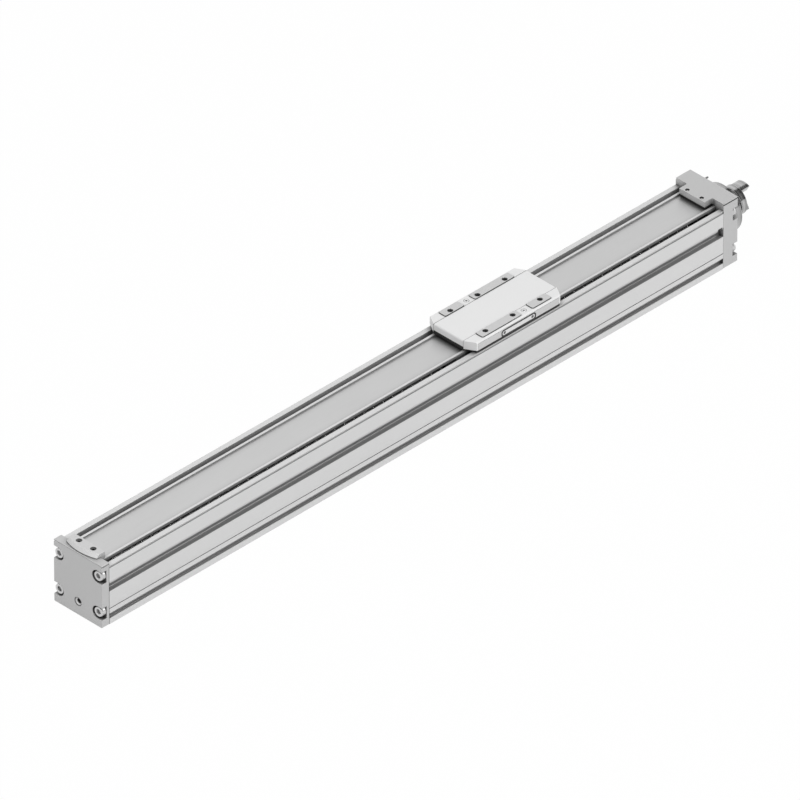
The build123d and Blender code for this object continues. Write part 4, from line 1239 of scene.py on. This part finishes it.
@dataclass
class Studio:
    """The pale floor, the soft lights, the dark card and the camera. Lengths are in metres."""

    target: Triple = (-0.02332, -0.00520, 0.03602)
    scale_px_per_mm: float = 1.1300
    lens_mm: float = 1150.0
    sensor_mm: float = 36.0
    floor_side: float = 120.0
    floor_drop: float = 0.0002
    floor_glow: float = 0.985
    surround: float = 0.42
    hub: Triple = (0.39, 0.0, 0.0385)
    flag_offset: Triple = (0.68, -0.47, 0.83)
    flag_side: float = 1.55

    def camera(self) -> None:
        """Looks along the isometric direction from far away, as the photograph does."""
        data = bpy.data.cameras.new("camera")
        data.lens = self.lens_mm
        data.sensor_width = self.sensor_mm
        width = IMAGE_SIDE_PX / self.scale_px_per_mm * MM
        distance = width * self.lens_mm / self.sensor_mm
        data.clip_start = 0.5
        data.clip_end = 2 * distance
        camera = bpy.data.objects.new("camera", data)
        back = Vector((-1, -1, 1)).normalized()
        camera.location = Vector(self.target) + back * distance
        camera.rotation_mode = "QUATERNION"
        camera.rotation_quaternion = (-back).to_track_quat("-Z", "Y")
        bpy.context.scene.collection.objects.link(camera)
        bpy.context.scene.camera = camera

    def floor(self) -> None:
        """A wide pale floor that looks white to the camera and keeps the object's shadow."""
        floor = sheet("floor", self.floor_side, -self.floor_drop)
        material = bpy.data.materials.new("pale_floor")
        bench = NodeBench(material)
        bench.shader.inputs["Base Color"].default_value = (0.8, 0.8, 0.8, 1)
        bench.shader.inputs["Roughness"].default_value = 0.9
        bench.shader.inputs["Specular IOR Level"].default_value = 0.1
        glow = bench.node("Emission")
        glow.inputs["Color"].default_value = (1, 1, 1, 1)
        glow.inputs["Strength"].default_value = 1.0
        share = bench.node("Math", operation="MULTIPLY")
        share.inputs[1].default_value = self.floor_glow
        bench.wire(seen_directly(bench.tree), share.inputs[0])
        mix = bench.node("MixShader")
        bench.wire(share.outputs["Value"], mix.inputs["Fac"])
        bench.wire(bench.shader.outputs["BSDF"], mix.inputs[1])
        bench.wire(glow.outputs["Emission"], mix.inputs[2])
        bench.wire(mix.outputs["Shader"], bench.output.inputs["Surface"])
        floor.data.materials.append(material)

    def world(self) -> None:
        """A soft neutral surround that is white where the camera sees it."""
        world = bpy.data.worlds.new("studio")
        bpy.context.scene.world = world
        world.use_nodes = True
        tree = world.node_tree
        tree.nodes.clear()
        mix = tree.nodes.new("ShaderNodeMixShader")
        for slot, strength in ((1, self.surround), (2, 1.0)):
            shade = tree.nodes.new("ShaderNodeBackground")
            shade.inputs["Color"].default_value = (1, 1, 1, 1)
            shade.inputs["Strength"].default_value = strength
            tree.links.new(shade.outputs["Background"], mix.inputs[slot])
        output = tree.nodes.new("ShaderNodeOutputWorld")
        tree.links.new(seen_directly(tree), mix.inputs["Fac"])
        tree.links.new(mix.outputs["Shader"], output.inputs["Surface"])

    def lamp(self, name: str, place: Triple, side: float, watts: float) -> None:
        """A square soft light that faces the axis.

        Args:
            name: The lamp's name.
            place: Where it hangs, in metres.
            side: Its edge, in metres.
            watts: Its power.
        """
        data = bpy.data.lights.new(name, "AREA")
        data.shape = "SQUARE"
        data.size = side
        data.energy = watts
        lamp = bpy.data.objects.new(name, data)
        lamp.location = place
        lamp.rotation_mode = "QUATERNION"
        lamp.rotation_quaternion = (-Vector(place)).to_track_quat("-Z", "Y")
        bpy.context.scene.collection.objects.link(lamp)

    def flag(self) -> None:
        """A dark card beside the drive end that only shows as a dark band in polished steel."""
        card = sheet("dark_card", self.flag_side)
        card.location = Vector(self.hub) + Vector(self.flag_offset)
        card.rotation_mode = "QUATERNION"
        card.rotation_quaternion = (-Vector(self.flag_offset)).to_track_quat("Z", "Y")
        for ray in ("camera", "diffuse", "transmission", "shadow"):
            setattr(card, f"visible_{ray}", False)
        material = bpy.data.materials.new("dark_card_cloth")
        bench = NodeBench(material)
        bench.shader.inputs["Base Color"].default_value = (0.10, 0.10, 0.10, 1)
        bench.shader.inputs["Roughness"].default_value = 0.9
        card.data.materials.append(material)

    def build(self) -> None:
        """Sets up the whole studio."""
        self.camera()
        self.floor()
        self.world()
        self.flag()
        self.lamp("key_softbox", place=(0.9, -2.4, 2.6), side=2.4, watts=62)
        self.lamp("top_softbox", place=(-1.1, 0.5, 2.6), side=2.4, watts=22)
        bpy.context.scene.view_settings.view_transform = "Standard"
        log.info("studio ready")


def main() -> None:
    """Builds the studio, dresses the frame and adds the fine pieces in order."""
    Studio().build()
    dress_frame()
    for assembly in (Body(), IdleEnd(), DriveEnd(), Coupling(), Spindle(), SlideUnit()):
        assembly.build()
        log.info("%s ready", type(assembly).__name__)


if __name__ == "__main__":
    main()
